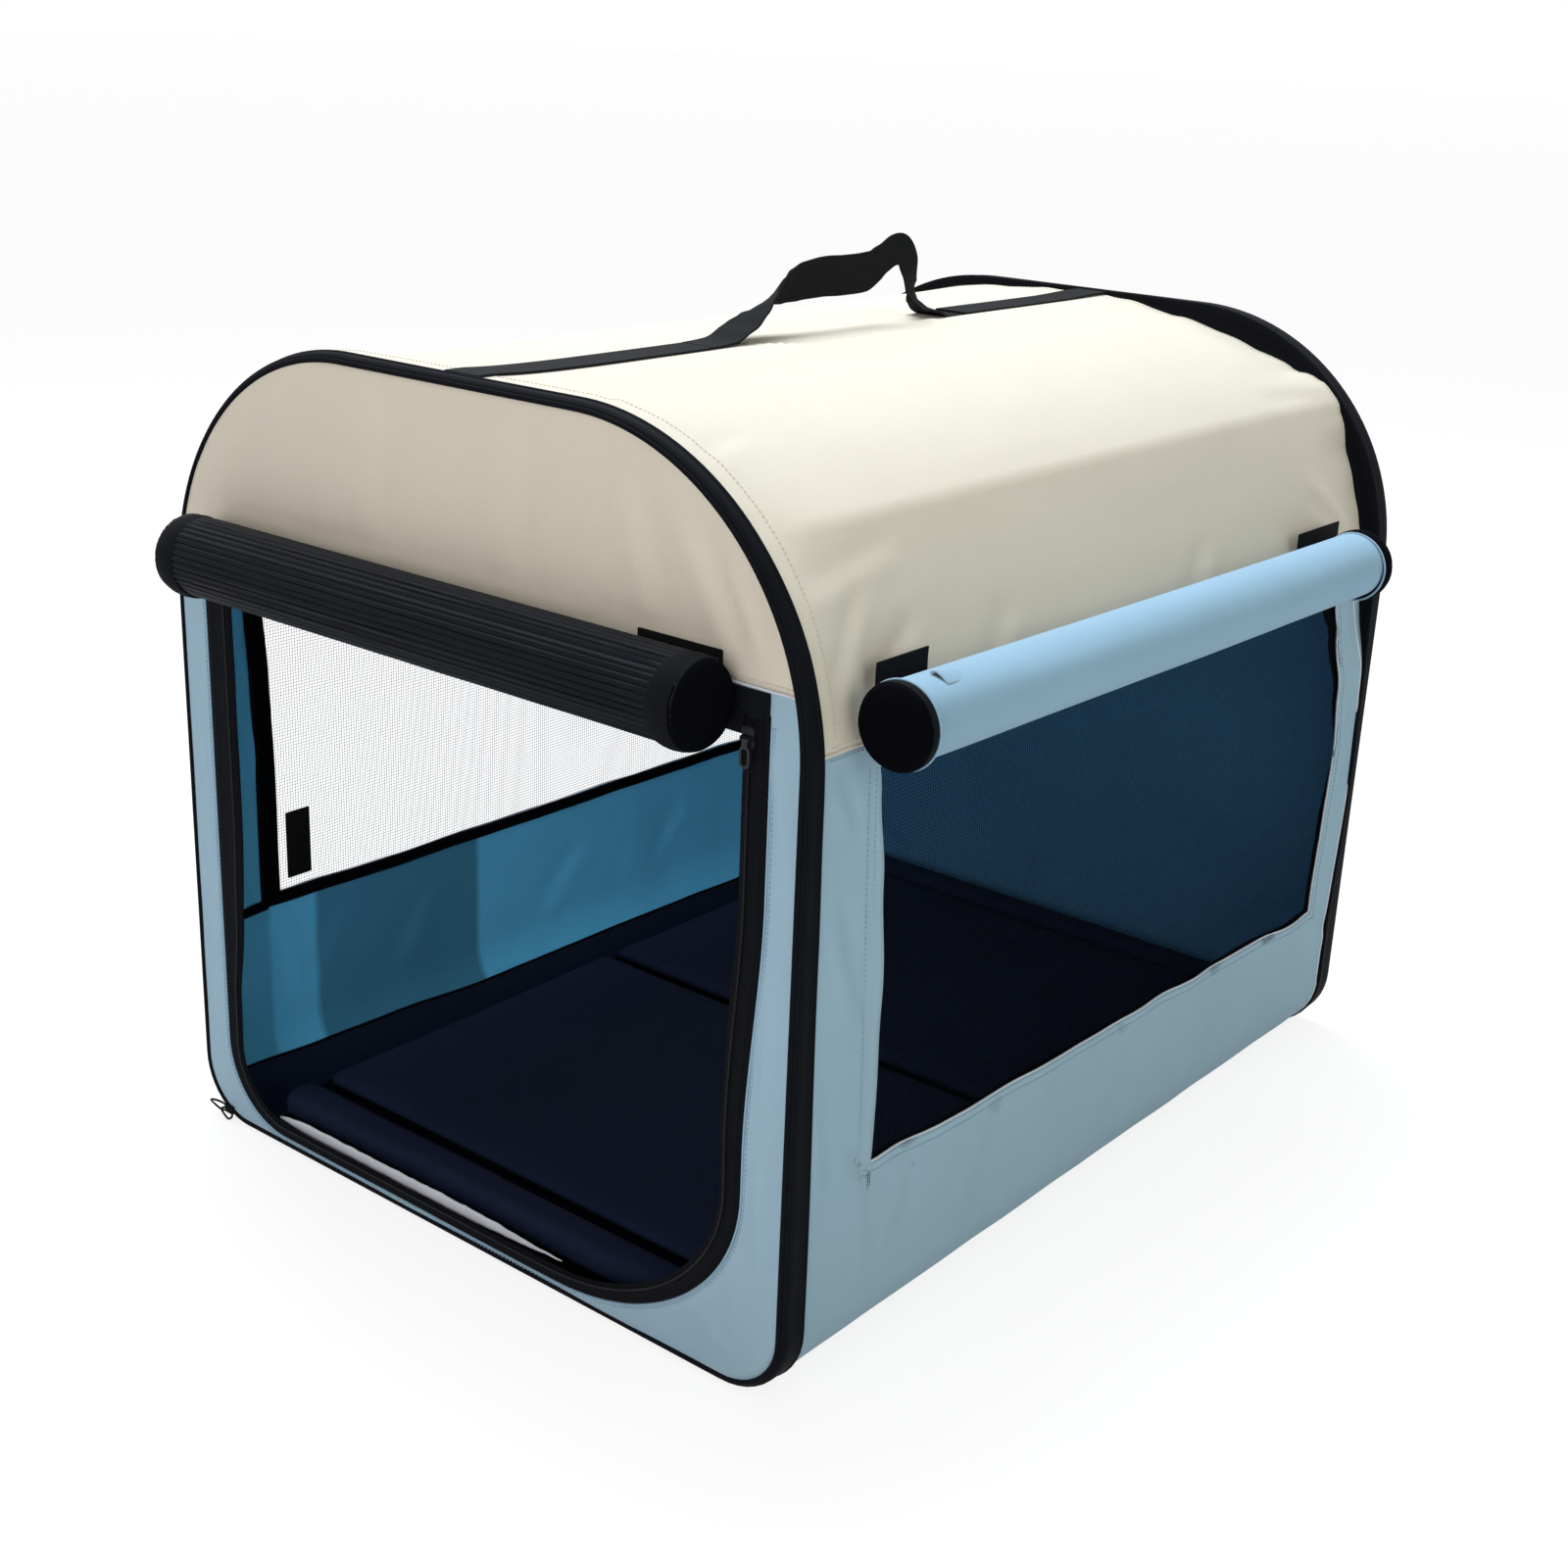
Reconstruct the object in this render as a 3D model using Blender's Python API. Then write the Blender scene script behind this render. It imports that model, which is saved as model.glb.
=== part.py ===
"""Folding soft crate: steel hoops, a hinged floor, a sewn skin and a webbing handle.

The origin is the centre of the underside. The door is at -Y, up is +Z, lengths are metres.
"""
import math

import bmesh
import bpy
from mathutils import Matrix, Vector

MM = 0.001

# Overall size of the sewn skin
LENGTH = 762 * MM
WIDTH = 584 * MM
HEIGHT = 612 * MM
SHOULDER_RADIUS = 187 * MM
FOOT_RADIUS = 50 * MM
SKIN = 1.2 * MM
GAP = 0.3 * MM

# Seams, above the height where the shoulders start, and in from the foot corners
FRONT_SEAM_RISE = 45 * MM
SIDE_SEAM_RISE = 9 * MM
FLOOR_SEAM_INSET = 4 * MM

# Steel tube and its hinges
TUBE_RADIUS = 6 * MM
EAR_RADIUS = 5 * MM
EAR_THICKNESS = 2 * MM
TONGUE_THICKNESS = 4 * MM
PIN_RADIUS = 2 * MM
HINGE_INSET = 50 * MM
TUBE_START = 8 * MM
PLATE_LENGTH = 20 * MM
PLATE_LIFT = 1 * MM
HOOP_SLOT = 11 * MM
RAIL_INSET = 102 * MM
FOLD_ANGLE = math.radians(84)
SPREADER_ANGLE = math.radians(43)
SPREADER_DEPTH = 13.2 * MM

# Elbow lock button
BUTTON_RADIUS = 4 * MM
BUTTON_TRAVEL = 2.5 * MM
BUTTON_PROUD = 4 * MM
BUTTON_DEPTH = 8 * MM
BUTTON_FROM_ELBOW = 18 * MM

# Floor
BOARD_THICKNESS = 3 * MM
MAT_THICKNESS = 12 * MM
BOARD_TO_SPREADER = 1.1 * MM
MAT_CORNER = 12 * MM
MAT_EDGE = 3 * MM

# Edge bands
FRONT_BAND = 22 * MM
REAR_BAND = 30 * MM
BAND_EDGE = 3 * MM
BAND_RECESS = 0.4 * MM

# Door
DOOR_SIDE = 33 * MM
DOOR_BOTTOM = 14 * MM
DOOR_HEADER = 14.5 * MM
DOOR_CORNER = 80 * MM
TAPE_WIDTH = 18 * MM
TAPE_PROUD = 0.4 * MM
TAPE_THICKNESS = 1.6 * MM

# Windows
WINDOW_FRONT = 82 * MM
WINDOW_REAR = 58 * MM
WINDOW_BOTTOM = 138 * MM
WINDOW_DROP = 10 * MM
WINDOW_CORNER = 8 * MM
NET_LAP = 9 * MM
NET_THICKNESS = 1 * MM
NET_STRAND = 2.4 * MM
NET_COLUMNS = 12
NET_ROWS = 6
BINDING_OUT = 10 * MM
BINDING_IN = 6 * MM
BINDING_THICKNESS = 1.4 * MM
TAB_START = 5 * MM
TAB_WIDTH = 22 * MM
TAB_BOTTOM = 168 * MM
TAB_HEIGHT = 60 * MM

# Rolled door and window covers
DOOR_ROLL_RADIUS = 26.4 * MM
DOOR_ROLL_INSET = 56 * MM
DOOR_ROLL_DROP = 8 * MM
COVER_ROLL_RADIUS = 26 * MM
COVER_ROLL_RISE = 19.5 * MM
COVER_ROLL_FRONT = 44 * MM
COVER_ROLL_REAR = 100 * MM
ROLL_SHEET = 2.2 * MM
ROLL_PITCH = 4.6 * MM
ROLL_TURNS = 3
ROLL_STEPS = 12
STRAP_WIDTH = 56 * MM
STRAP_THICKNESS = 1.6 * MM
STRAP_SIDES = 16
STRAP_OFFSET = 5 * MM
STRAP_RISE = 25 * MM
DOOR_LOOP_WIDTH = 15 * MM
COVER_LOOP_WIDTH = 6 * MM

# Door zip slider and pull
SLIDER_DROP = 30 * MM
SLIDER_WIDTH = 9 * MM
SLIDER_HEIGHT = 14 * MM
SLIDER_DEPTH = 3.2 * MM
SLIDER_EAR = 1.4 * MM
PULL_WIDTH = 8 * MM
PULL_LENGTH = 18 * MM
PULL_THICKNESS = 1.8 * MM
PULL_NECK = 3.4 * MM
PULL_PIVOT = 1.4 * MM

# Cord loops at the front left foot
LOOP_RADIUS = 4.6 * MM
LOOP_CORD = 0.9 * MM

# Webbing and handle, along the roof
WEBBING_WIDTH = 30 * MM
WEBBING_THICKNESS = 1.6 * MM
HANDLE_THICKNESS = 3 * MM
HANDLE_SHIFT = 13 * MM
HANDLE_LENGTH = 272 * MM
HANDLE_RISE = 48 * MM

# Facets
SHOULDER_STEPS = 9
FOOT_STEPS = 4
TUBE_SIDES = 12
PIN_SIDES = 12

# Places worked out from the sizes above
FRONT = -LENGTH / 2
REAR = LENGTH / 2
INNER = SKIN + GAP
HOOP_INSET = INNER + TUBE_RADIUS
BASE_PIVOT_Z = INNER + EAR_RADIUS
REACH = LENGTH / 2 - HINGE_INSET
SHOULDER_X = WIDTH / 2 - SHOULDER_RADIUS
SHOULDER_Z = HEIGHT - SHOULDER_RADIUS
FRONT_SEAM_Z = SHOULDER_Z + FRONT_SEAM_RISE
SIDE_SEAM_Z = SHOULDER_Z + SIDE_SEAM_RISE
FLOOR_EDGE = WIDTH / 2 - FOOT_RADIUS - FLOOR_SEAM_INSET
RAIL_X = WIDTH / 2 - RAIL_INSET
SPREADER_ARM = SHOULDER_RADIUS - SPREADER_DEPTH
SPREADER_X = SHOULDER_X + SPREADER_ARM * math.cos(SPREADER_ANGLE)
SPREADER_Z = SHOULDER_Z + SPREADER_ARM * math.sin(SPREADER_ANGLE)
SPREADER_PIVOT_Z = SPREADER_Z + TUBE_RADIUS
BOARD_HALF = SPREADER_X - TUBE_RADIUS - BOARD_TO_SPREADER
BOARD_Z = BASE_PIVOT_Z + 2 * TUBE_RADIUS + GAP
MAT_Z = BOARD_Z + BOARD_THICKNESS + GAP
MAT_TOP = MAT_Z + MAT_THICKNESS
BORE_RADIUS = PIN_RADIUS + GAP
CLEVIS_HALF = TONGUE_THICKNESS / 2 + GAP + EAR_THICKNESS
DOOR_HALF = WIDTH / 2 - DOOR_SIDE
DOOR_TOP = FRONT_SEAM_Z - DOOR_HEADER
WINDOW_LENGTH = LENGTH - WINDOW_FRONT - WINDOW_REAR
WINDOW_TOP = SHOULDER_Z - WINDOW_DROP
DOOR_ROLL_HALF = WIDTH / 2 - DOOR_ROLL_INSET
DOOR_ROLL_Z = FRONT_SEAM_Z - DOOR_ROLL_DROP
COVER_ROLL_Z = SIDE_SEAM_Z + COVER_ROLL_RISE
HANDLE_START = HANDLE_SHIFT - HANDLE_LENGTH / 2
SLIDER_Z = FRONT_SEAM_Z - SLIDER_DROP
SLIDER_X = DOOR_HALF - GAP - TAPE_WIDTH / 2
SLIDER_FACE = FRONT - TAPE_PROUD - GAP - SLIDER_DEPTH
PULL_PIVOT_Y = SLIDER_FACE - GAP - PULL_PIVOT

COLOURS = {
    "steel": ((0.10, 0.10, 0.11), 0.35, 0.9),
    "cream": ((0.56, 0.52, 0.42), 0.85, 0.0),
    "blue": ((0.25, 0.37, 0.44), 0.85, 0.0),
    "bright_blue": ((0.26, 0.44, 0.62), 0.85, 0.0),
    "black": ((0.012, 0.014, 0.025), 0.7, 0.0),
    "mesh": ((0.02, 0.025, 0.05), 0.8, 0.0),
    "board": ((0.05, 0.05, 0.06), 0.8, 0.0),
    "mat": ((0.03, 0.035, 0.05), 0.95, 0.0),
}


def arc(centre_a, centre_b, radius, start, end, steps):
    """Points of an arc, with both ends, angles in degrees."""
    points = []
    for step in range(steps + 1):
        angle = math.radians(start + (end - start) * step / steps)
        points.append((centre_a + radius * math.cos(angle), centre_b + radius * math.sin(angle)))
    return points


def circle(centre_a, centre_b, radius, sides):
    """Points of a full circle, without repeating the first."""
    return arc(centre_a, centre_b, radius, 0, 360, sides)[:-1]


def rounded_box(low_a, high_a, low_b, high_b, radius, steps=4):
    """Outline of a rectangle with round corners."""
    points = arc(high_a - radius, low_b + radius, radius, -90, 0, steps)
    points += arc(high_a - radius, high_b - radius, radius, 0, 90, steps)
    points += arc(low_a + radius, high_b - radius, radius, 90, 180, steps)
    points += arc(low_a + radius, low_b + radius, radius, 180, 270, steps)
    return points


def shoulder_points(inset):
    """Right shoulder, from the wall up to the flat top, on the steps that every ring shares."""
    return arc(SHOULDER_X, SHOULDER_Z, SHOULDER_RADIUS - inset, 0, 90, SHOULDER_STEPS)


def first_step_above(height):
    """Number of the first shoulder point above a height."""
    heights = [b for a, b in shoulder_points(0)]
    return next(count for count, b in enumerate(heights) if b > height + GAP)


def seam_point(inset, height):
    """Where a seam at a height crosses the shoulder."""
    count = first_step_above(height)
    (low_a, low_b), (high_a, high_b) = shoulder_points(inset)[count - 1:count + 1]
    share = (height - low_b) / (high_b - low_b)
    return (low_a + (high_a - low_a) * share, height)


def above_seam(inset, height):
    """Right shoulder from a seam up to the flat top."""
    return [seam_point(inset, height)] + shoulder_points(inset)[first_step_above(height):]


def below_seam(inset, height):
    """Right shoulder from the wall up to a seam."""
    return shoulder_points(inset)[:first_step_above(height)] + [seam_point(inset, height)]


def foot_points(inset):
    """Right foot corner, from the floor up to the wall."""
    return arc(WIDTH / 2 - FOOT_RADIUS, FOOT_RADIUS, FOOT_RADIUS - inset, -90, 0, FOOT_STEPS)


def on_side(side, points):
    """The points of the right side, or the same points on the left."""
    return [(side * a, b) for a, b in points]


def mirrored(points):
    """The same points on the left, in the opposite order."""
    return [(-a, b) for a, b in reversed(points)]


def section_loop(inset):
    """The crate's cross-section as a closed loop, moved in by an inset."""
    right = foot_points(inset) + shoulder_points(inset)
    return right + mirrored(right)


def material(name):
    """One Principled material for one object."""
    colour, roughness, metallic = COLOURS[name]
    made = bpy.data.materials.new(name)
    made.use_nodes = True
    shader = made.node_tree.nodes["Principled BSDF"]
    shader.inputs["Base Color"].default_value = (*colour, 1)
    shader.inputs["Roughness"].default_value = roughness
    shader.inputs["Metallic"].default_value = metallic
    made.diffuse_color = (*colour, 1)
    return made


def finish_mesh(name, mesh_data, finish):
    """Turn a bmesh into a named object with its faces outwards."""
    bmesh.ops.remove_doubles(mesh_data, verts=mesh_data.verts, dist=0.001 * MM)
    bmesh.ops.recalc_face_normals(mesh_data, faces=mesh_data.faces)
    mesh = bpy.data.meshes.new(name)
    mesh_data.to_mesh(mesh)
    mesh_data.free()
    mesh.shade_smooth()
    mesh.set_sharp_from_angle(angle=math.radians(35))
    made = bpy.data.objects.new(name, mesh)
    bpy.context.scene.collection.objects.link(made)
    made.data.materials.append(material(finish))
    return made


def place(axis, a, b, along):
    """A point of an outline in the plane square to an axis."""
    if axis == "x":
        return Vector((along, a, b))
    if axis == "y":
        return Vector((a, along, b))
    return Vector((a, b, along))


def prism(name, outline, low, high, axis, finish="steel"):
    """Extrude a closed outline along an axis."""
    mesh_data = bmesh.new()
    verts = [mesh_data.verts.new(place(axis, a, b, low)) for a, b in outline]
    face = mesh_data.faces.new(verts)
    grown = bmesh.ops.extrude_face_region(mesh_data, geom=[face])
    moved = [item for item in grown["geom"] if isinstance(item, bmesh.types.BMVert)]
    bmesh.ops.translate(mesh_data, verts=moved, vec=place(axis, 0, 0, high - low))
    return finish_mesh(name, mesh_data, finish)


def strip_prism(name, outer, inner, low, high, axis, finish):
    """Extrude a strip between two open lines that have as many points."""
    mesh_data = bmesh.new()
    ends = []
    for along in (low, high):
        top = [mesh_data.verts.new(place(axis, a, b, along)) for a, b in outer]
        bottom = [mesh_data.verts.new(place(axis, a, b, along)) for a, b in inner]
        ends.append((top, bottom))
    (top_low, bottom_low), (top_high, bottom_high) = ends
    for index in range(len(outer) - 1):
        after = index + 1
        mesh_data.faces.new((top_low[index], top_low[after], top_high[after], top_high[index]))
        mesh_data.faces.new((bottom_low[index], bottom_low[after], bottom_high[after], bottom_high[index]))
        mesh_data.faces.new((top_low[index], top_low[after], bottom_low[after], bottom_low[index]))
        mesh_data.faces.new((top_high[index], top_high[after], bottom_high[after], bottom_high[index]))
    for index in (0, -1):
        mesh_data.faces.new((top_low[index], top_high[index], bottom_high[index], bottom_low[index]))
    return finish_mesh(name, mesh_data, finish)


def ring_prism(name, outer, inner, low, high, axis, finish):
    """Extrude a closed ring between two loops that have as many points."""
    mesh_data = bmesh.new()
    loops = []
    for outline, along in ((outer, low), (outer, high), (inner, high), (inner, low)):
        loops.append([mesh_data.verts.new(place(axis, a, b, along)) for a, b in outline])
    join_loops(mesh_data, loops)
    return finish_mesh(name, mesh_data, finish)


def join_loops(mesh_data, loops):
    """Quads between each closed loop and the next, and from the last to the first."""
    for number, loop in enumerate(loops):
        other = loops[(number + 1) % len(loops)]
        for index in range(len(loop)):
            after = (index + 1) % len(loop)
            mesh_data.faces.new((loop[index], loop[after], other[after], other[index]))


def section_ring(name, profile, finish):
    """Sweep a closed profile of (inset, y) points round the crate's cross-section."""
    mesh_data = bmesh.new()
    loops = []
    for inset, along in profile:
        loops.append([mesh_data.verts.new(place("y", a, b, along)) for a, b in section_loop(inset)])
    join_loops(mesh_data, loops)
    return finish_mesh(name, mesh_data, finish)


def boolean(target, tools, operation):
    """Join tools to a target, or cut them from it, and remove them."""
    for tool in tools:
        step = target.modifiers.new("Boolean", "BOOLEAN")
        step.operation = operation
        step.solver = "EXACT"
        step.object = tool
    bpy.context.view_layer.update()
    graph = bpy.context.evaluated_depsgraph_get()
    mesh = bpy.data.meshes.new_from_object(target.evaluated_get(graph))
    target.modifiers.clear()
    target.data = mesh
    mesh.name = target.name
    for tool in tools:
        bpy.data.objects.remove(tool)
    return target


def box_outline(low_a, high_a, low_b, high_b):
    """Corners of a rectangle."""
    return [(low_a, low_b), (high_a, low_b), (high_a, high_b), (low_a, high_b)]


# Steel frame

def rod(name, centre_y, centre_z, radius, low_x, high_x, sides=PIN_SIDES):
    """A round bar across the crate."""
    return prism(name, circle(centre_y, centre_z, radius, sides), low_x, high_x, "x")


def pin_bore(x, pivot_y, pivot_z):
    """Cutter for a pin's hole through a hinge."""
    reach = CLEVIS_HALF + TUBE_RADIUS
    return rod("bore", pivot_y, pivot_z, BORE_RADIUS, x - reach, x + reach)


def slot(x, pivot_y, pivot_z, towards, depth):
    """Cutter for the space between two ears, open on the side away from the bar."""
    near = pivot_y - towards * (EAR_RADIUS + 1 * MM)
    far = pivot_y + towards * depth
    half = TONGUE_THICKNESS / 2 + GAP
    tall = 2.5 * TUBE_RADIUS
    outline = box_outline(min(near, far), max(near, far), pivot_z - tall, pivot_z + tall)
    return prism("slot", outline, x - half, x + half, "x")


def hinge_plate(x, pivot_y, pivot_z, towards, side, half_width):
    """A round ear on its pivot, widening into the bar that lies on one side of the pivot."""
    tall = 2 * TUBE_RADIUS - 2 * PLATE_LIFT
    shape = arc(0, 0, EAR_RADIUS, 0, -270, 9)
    shape += [(0, tall), (PLATE_LENGTH, tall), (PLATE_LENGTH, PLATE_LIFT)]
    outline = [(pivot_y + towards * a, pivot_z + side * b) for a, b in shape]
    return prism("plate", outline, x - half_width, x + half_width, "x")


def hoop_lug(x, pivot_y, pivot_z, hoop_y):
    """Plate from the hoop's tube to a pivot, before its slot and bore are cut."""
    away = math.copysign(1, pivot_y - hoop_y)
    shape = arc(0, 0, EAR_RADIUS, -90, 90, 6)
    shape += [(-abs(pivot_y - hoop_y), EAR_RADIUS), (-abs(pivot_y - hoop_y), -EAR_RADIUS)]
    outline = [(pivot_y + away * a, pivot_z + b) for a, b in shape]
    return prism("lug", outline, x - CLEVIS_HALF, x + CLEVIS_HALF, "x")


def hoop(name, hoop_y, pivot_y):
    """A closed ring of tube with two lugs at the floor and two at the shoulders."""
    profile = circle(HOOP_INSET, hoop_y, TUBE_RADIUS, TUBE_SIDES)
    ring = section_ring(name, profile, "steel")
    towards = math.copysign(1, hoop_y - pivot_y)
    lugs, cuts = [], []
    for side in (-1, 1):
        for x, pivot_z in ((side * RAIL_X, BASE_PIVOT_Z), (side * SPREADER_X, SPREADER_PIVOT_Z)):
            lugs.append(hoop_lug(x, pivot_y, pivot_z, hoop_y))
            cuts.append(slot(x, pivot_y, pivot_z, towards, HOOP_SLOT))
            cuts.append(pin_bore(x, pivot_y, pivot_z))
    boolean(ring, lugs, "UNION")
    return boolean(ring, cuts, "DIFFERENCE")


def fold_bar(name, x, pivot_z, near, far, side, far_clevis, pockets=()):
    """A tube between two pivots, lying above them (side 1) or below them (side -1)."""
    centre_z = pivot_z + side * TUBE_RADIUS
    outline = circle(x, centre_z, TUBE_RADIUS, TUBE_SIDES)
    bar = prism(name, outline, near + TUBE_START, far - TUBE_START, "y")
    far_half = CLEVIS_HALF if far_clevis else TONGUE_THICKNESS / 2
    plates = [hinge_plate(x, near, pivot_z, 1, side, TONGUE_THICKNESS / 2)]
    plates.append(hinge_plate(x, far, pivot_z, -1, side, far_half))
    boolean(bar, plates, "UNION")
    cuts = [pin_bore(x, near, pivot_z), pin_bore(x, far, pivot_z), *pockets]
    if far_clevis:
        cuts.append(slot(x, far, pivot_z, -1, EAR_RADIUS + 2 * GAP))
    return boolean(bar, cuts, "DIFFERENCE")


def elbow_button(name, side):
    """Lock button in a pocket of the front spreader bar, just before its elbow."""
    x = side * SPREADER_X
    base = x + side * (TUBE_RADIUS - BUTTON_DEPTH + BUTTON_TRAVEL + 2 * GAP)
    top = x + side * (TUBE_RADIUS + BUTTON_PROUD)
    made = rod(name, -BUTTON_FROM_ELBOW, SPREADER_Z, BUTTON_RADIUS, min(base, top), max(base, top))
    crown = made.modifiers.new("Bevel", "BEVEL")
    crown.width = 0.6 * MM
    crown.segments = 1
    crown.limit_method = "ANGLE"
    crown.angle_limit = math.radians(60)
    return made


def button_pocket(side):
    """Cutter for the button's pocket."""
    x = side * SPREADER_X
    bottom = x + side * (TUBE_RADIUS - BUTTON_DEPTH)
    top = x + side * 2 * TUBE_RADIUS
    radius = BUTTON_RADIUS + GAP
    return rod("pocket", -BUTTON_FROM_ELBOW, SPREADER_Z, radius, min(bottom, top), max(bottom, top))


def make_frame():
    """Hoops, rails, spreader bars, pins and buttons."""
    front_pivot = -REACH
    rear_pivot = REACH
    hoop("front_hoop", FRONT + HOOP_INSET, front_pivot)
    hoop("rear_hoop", REAR - HOOP_INSET, rear_pivot)
    rod_half = RAIL_X + 2 * CLEVIS_HALF
    for place_name, pivot_y in (("front", front_pivot), ("middle", 0), ("rear", rear_pivot)):
        rod("base_rod_" + place_name, pivot_y, BASE_PIVOT_Z, PIN_RADIUS, -rod_half, rod_half)
    for side_name, side in (("left", -1), ("right", 1)):
        rail_x = side * RAIL_X
        fold_bar("base_rail_front_" + side_name, rail_x, BASE_PIVOT_Z, front_pivot, 0, 1, True)
        fold_bar("base_rail_rear_" + side_name, rail_x, BASE_PIVOT_Z, 0, rear_pivot, 1, False)
        x = side * SPREADER_X
        fold_bar("spreader_front_" + side_name, x, SPREADER_PIVOT_Z, front_pivot, 0, -1, True,
                 [button_pocket(side)])
        fold_bar("spreader_rear_" + side_name, x, SPREADER_PIVOT_Z, 0, rear_pivot, -1, False)
        elbow_button("elbow_button_" + side_name, side)
        for pin_name, pivot_y in (("front", front_pivot), ("elbow", 0), ("rear", rear_pivot)):
            low = x - CLEVIS_HALF
            high = x + CLEVIS_HALF
            rod("spreader_pin_" + pin_name + "_" + side_name, pivot_y, SPREADER_PIVOT_Z, PIN_RADIUS, low, high)


# Floor

def floor_slab(name, low_y, high_y, low_z, high_z, corner, edge, finish):
    """A flat board or pad as wide as the spreader bars leave room for."""
    outline = rounded_box(-BOARD_HALF, BOARD_HALF, low_y, high_y, corner, 3)
    slab = prism(name, outline, low_z, high_z, "z", finish)
    if edge:
        soft = slab.modifiers.new("Bevel", "BEVEL")
        soft.width = edge
        soft.segments = 1
        soft.limit_method = "ANGLE"
        soft.angle_limit = math.radians(60)
    return slab


def lug_clearance(height):
    """How far from its hinge a piece at a height starts, to clear the lug when folded up."""
    rise = (height - BASE_PIVOT_Z) * math.cos(FOLD_ANGLE)
    return (EAR_RADIUS + 2 * GAP - rise) / math.sin(FOLD_ANGLE)


def make_floor():
    """Two boards, the mat's two halves and its soft margins at both ends."""
    inner_end = GAP
    outer_end = REACH - lug_clearance(BOARD_Z)
    board_top = BOARD_Z + BOARD_THICKNESS
    for name, near, far in (("front", -outer_end, -inner_end), ("rear", inner_end, outer_end)):
        floor_slab("base_board_" + name, near, far, BOARD_Z, board_top, 4 * MM, 0, "board")
    mat_end = REACH - lug_clearance(MAT_Z)
    for name, near, far in (("front", -mat_end, -inner_end), ("rear", inner_end, mat_end)):
        floor_slab("mat_" + name, near, far, MAT_Z, MAT_TOP, MAT_CORNER, MAT_EDGE, "mat")
    margin_low = HOOP_INSET + TUBE_RADIUS + 2 * GAP
    margin_high = HINGE_INSET - GAP
    margin_z = BASE_PIVOT_Z + EAR_RADIUS + 2 * GAP
    for name, near, far in (("front", FRONT + margin_low, FRONT + margin_high),
                            ("rear", REAR - margin_high, REAR - margin_low)):
        floor_slab("mat_margin_" + name, near, far, margin_z, MAT_TOP, MAT_CORNER, MAT_EDGE, "mat")


# Sewn skin

def upper_end_wall(name, seam_z, outer_y, inner_y):
    """Upper panel of an end wall, above its cross seam."""
    right = above_seam(INNER, seam_z)
    return prism(name, right + mirrored(right), outer_y, inner_y, "y", "cream")


def lower_end_wall(name, seam_z, outer_y, inner_y):
    """Lower panel of an end wall, below its cross seam."""
    right = foot_points(INNER) + below_seam(INNER, seam_z)
    return prism(name, right + mirrored(right), outer_y, inner_y, "y", "blue")


def door_edge(inset):
    """The door opening below its header, as an open line from top left to top right."""
    half = DOOR_HALF - inset
    bottom = DOOR_BOTTOM + inset
    radius = DOOR_CORNER - inset
    line = [(-half, DOOR_TOP)]
    line += arc(-half + radius, bottom + radius, radius, 180, 270, 6)
    line += arc(half - radius, bottom + radius, radius, -90, 0, 6)
    line.append((half, DOOR_TOP))
    return line


def make_end_walls():
    """Front wall with the door opening, rear wall, and the door's zip tape."""
    for name, outer_y, inner_y in (("front", FRONT, FRONT + SKIN), ("rear", REAR, REAR - SKIN)):
        upper_end_wall(name + "_wall_upper", FRONT_SEAM_Z + GAP, outer_y, inner_y)
        lower = lower_end_wall(name + "_wall_lower", FRONT_SEAM_Z, outer_y, inner_y)
        if name == "front":
            reach = 10 * SKIN
            cutter = prism("opening", door_edge(0), FRONT - reach, FRONT + reach, "y")
            boolean(lower, [cutter], "DIFFERENCE")
    outer = door_edge(GAP)
    inner = door_edge(GAP + TAPE_WIDTH)
    outer_y = FRONT - TAPE_PROUD
    outer = [(a, min(b, DOOR_TOP - GAP)) for a, b in outer]
    inner = [(a, min(b, DOOR_TOP - GAP)) for a, b in inner]
    strip_prism("door_zip_tape", outer, inner, outer_y, outer_y + TAPE_THICKNESS, "y", "black")


def edge_band(name, low, high):
    """Black band over a hoop, thicker along its two piped edges."""
    first = low + BAND_EDGE
    last = high - BAND_EDGE
    slope = BAND_RECESS
    profile = [(0, low), (0, first), (BAND_RECESS, first + slope), (BAND_RECESS, last - slope)]
    profile += [(0, last), (0, high), (SKIN, high), (SKIN, low)]
    return section_ring(name, profile, "black")


def window_outline(grow):
    """Rounded window opening on a side wall, grown by an amount, as (y, z)."""
    low = FRONT + WINDOW_FRONT - grow
    high = FRONT + WINDOW_FRONT + WINDOW_LENGTH + grow
    return rounded_box(low, high, WINDOW_BOTTOM - grow, WINDOW_TOP + grow, WINDOW_CORNER + grow)


def side_strip(name, side, path, low, high, finish):
    """A panel of skin that follows part of the cross-section."""
    return strip_prism(name, on_side(side, path(0)), on_side(side, path(SKIN)), low, high, "y", finish)


def wall_path(inset):
    """Side wall: from the floor's seam, round the foot and up to the side seam."""
    return [(FLOOR_EDGE + GAP, inset)] + foot_points(inset) + below_seam(inset, SIDE_SEAM_Z)


def roof_path(inset):
    """Roof: from the right side seam over to the left one."""
    right = above_seam(inset, SIDE_SEAM_Z + GAP)
    return right + mirrored(right)


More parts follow.
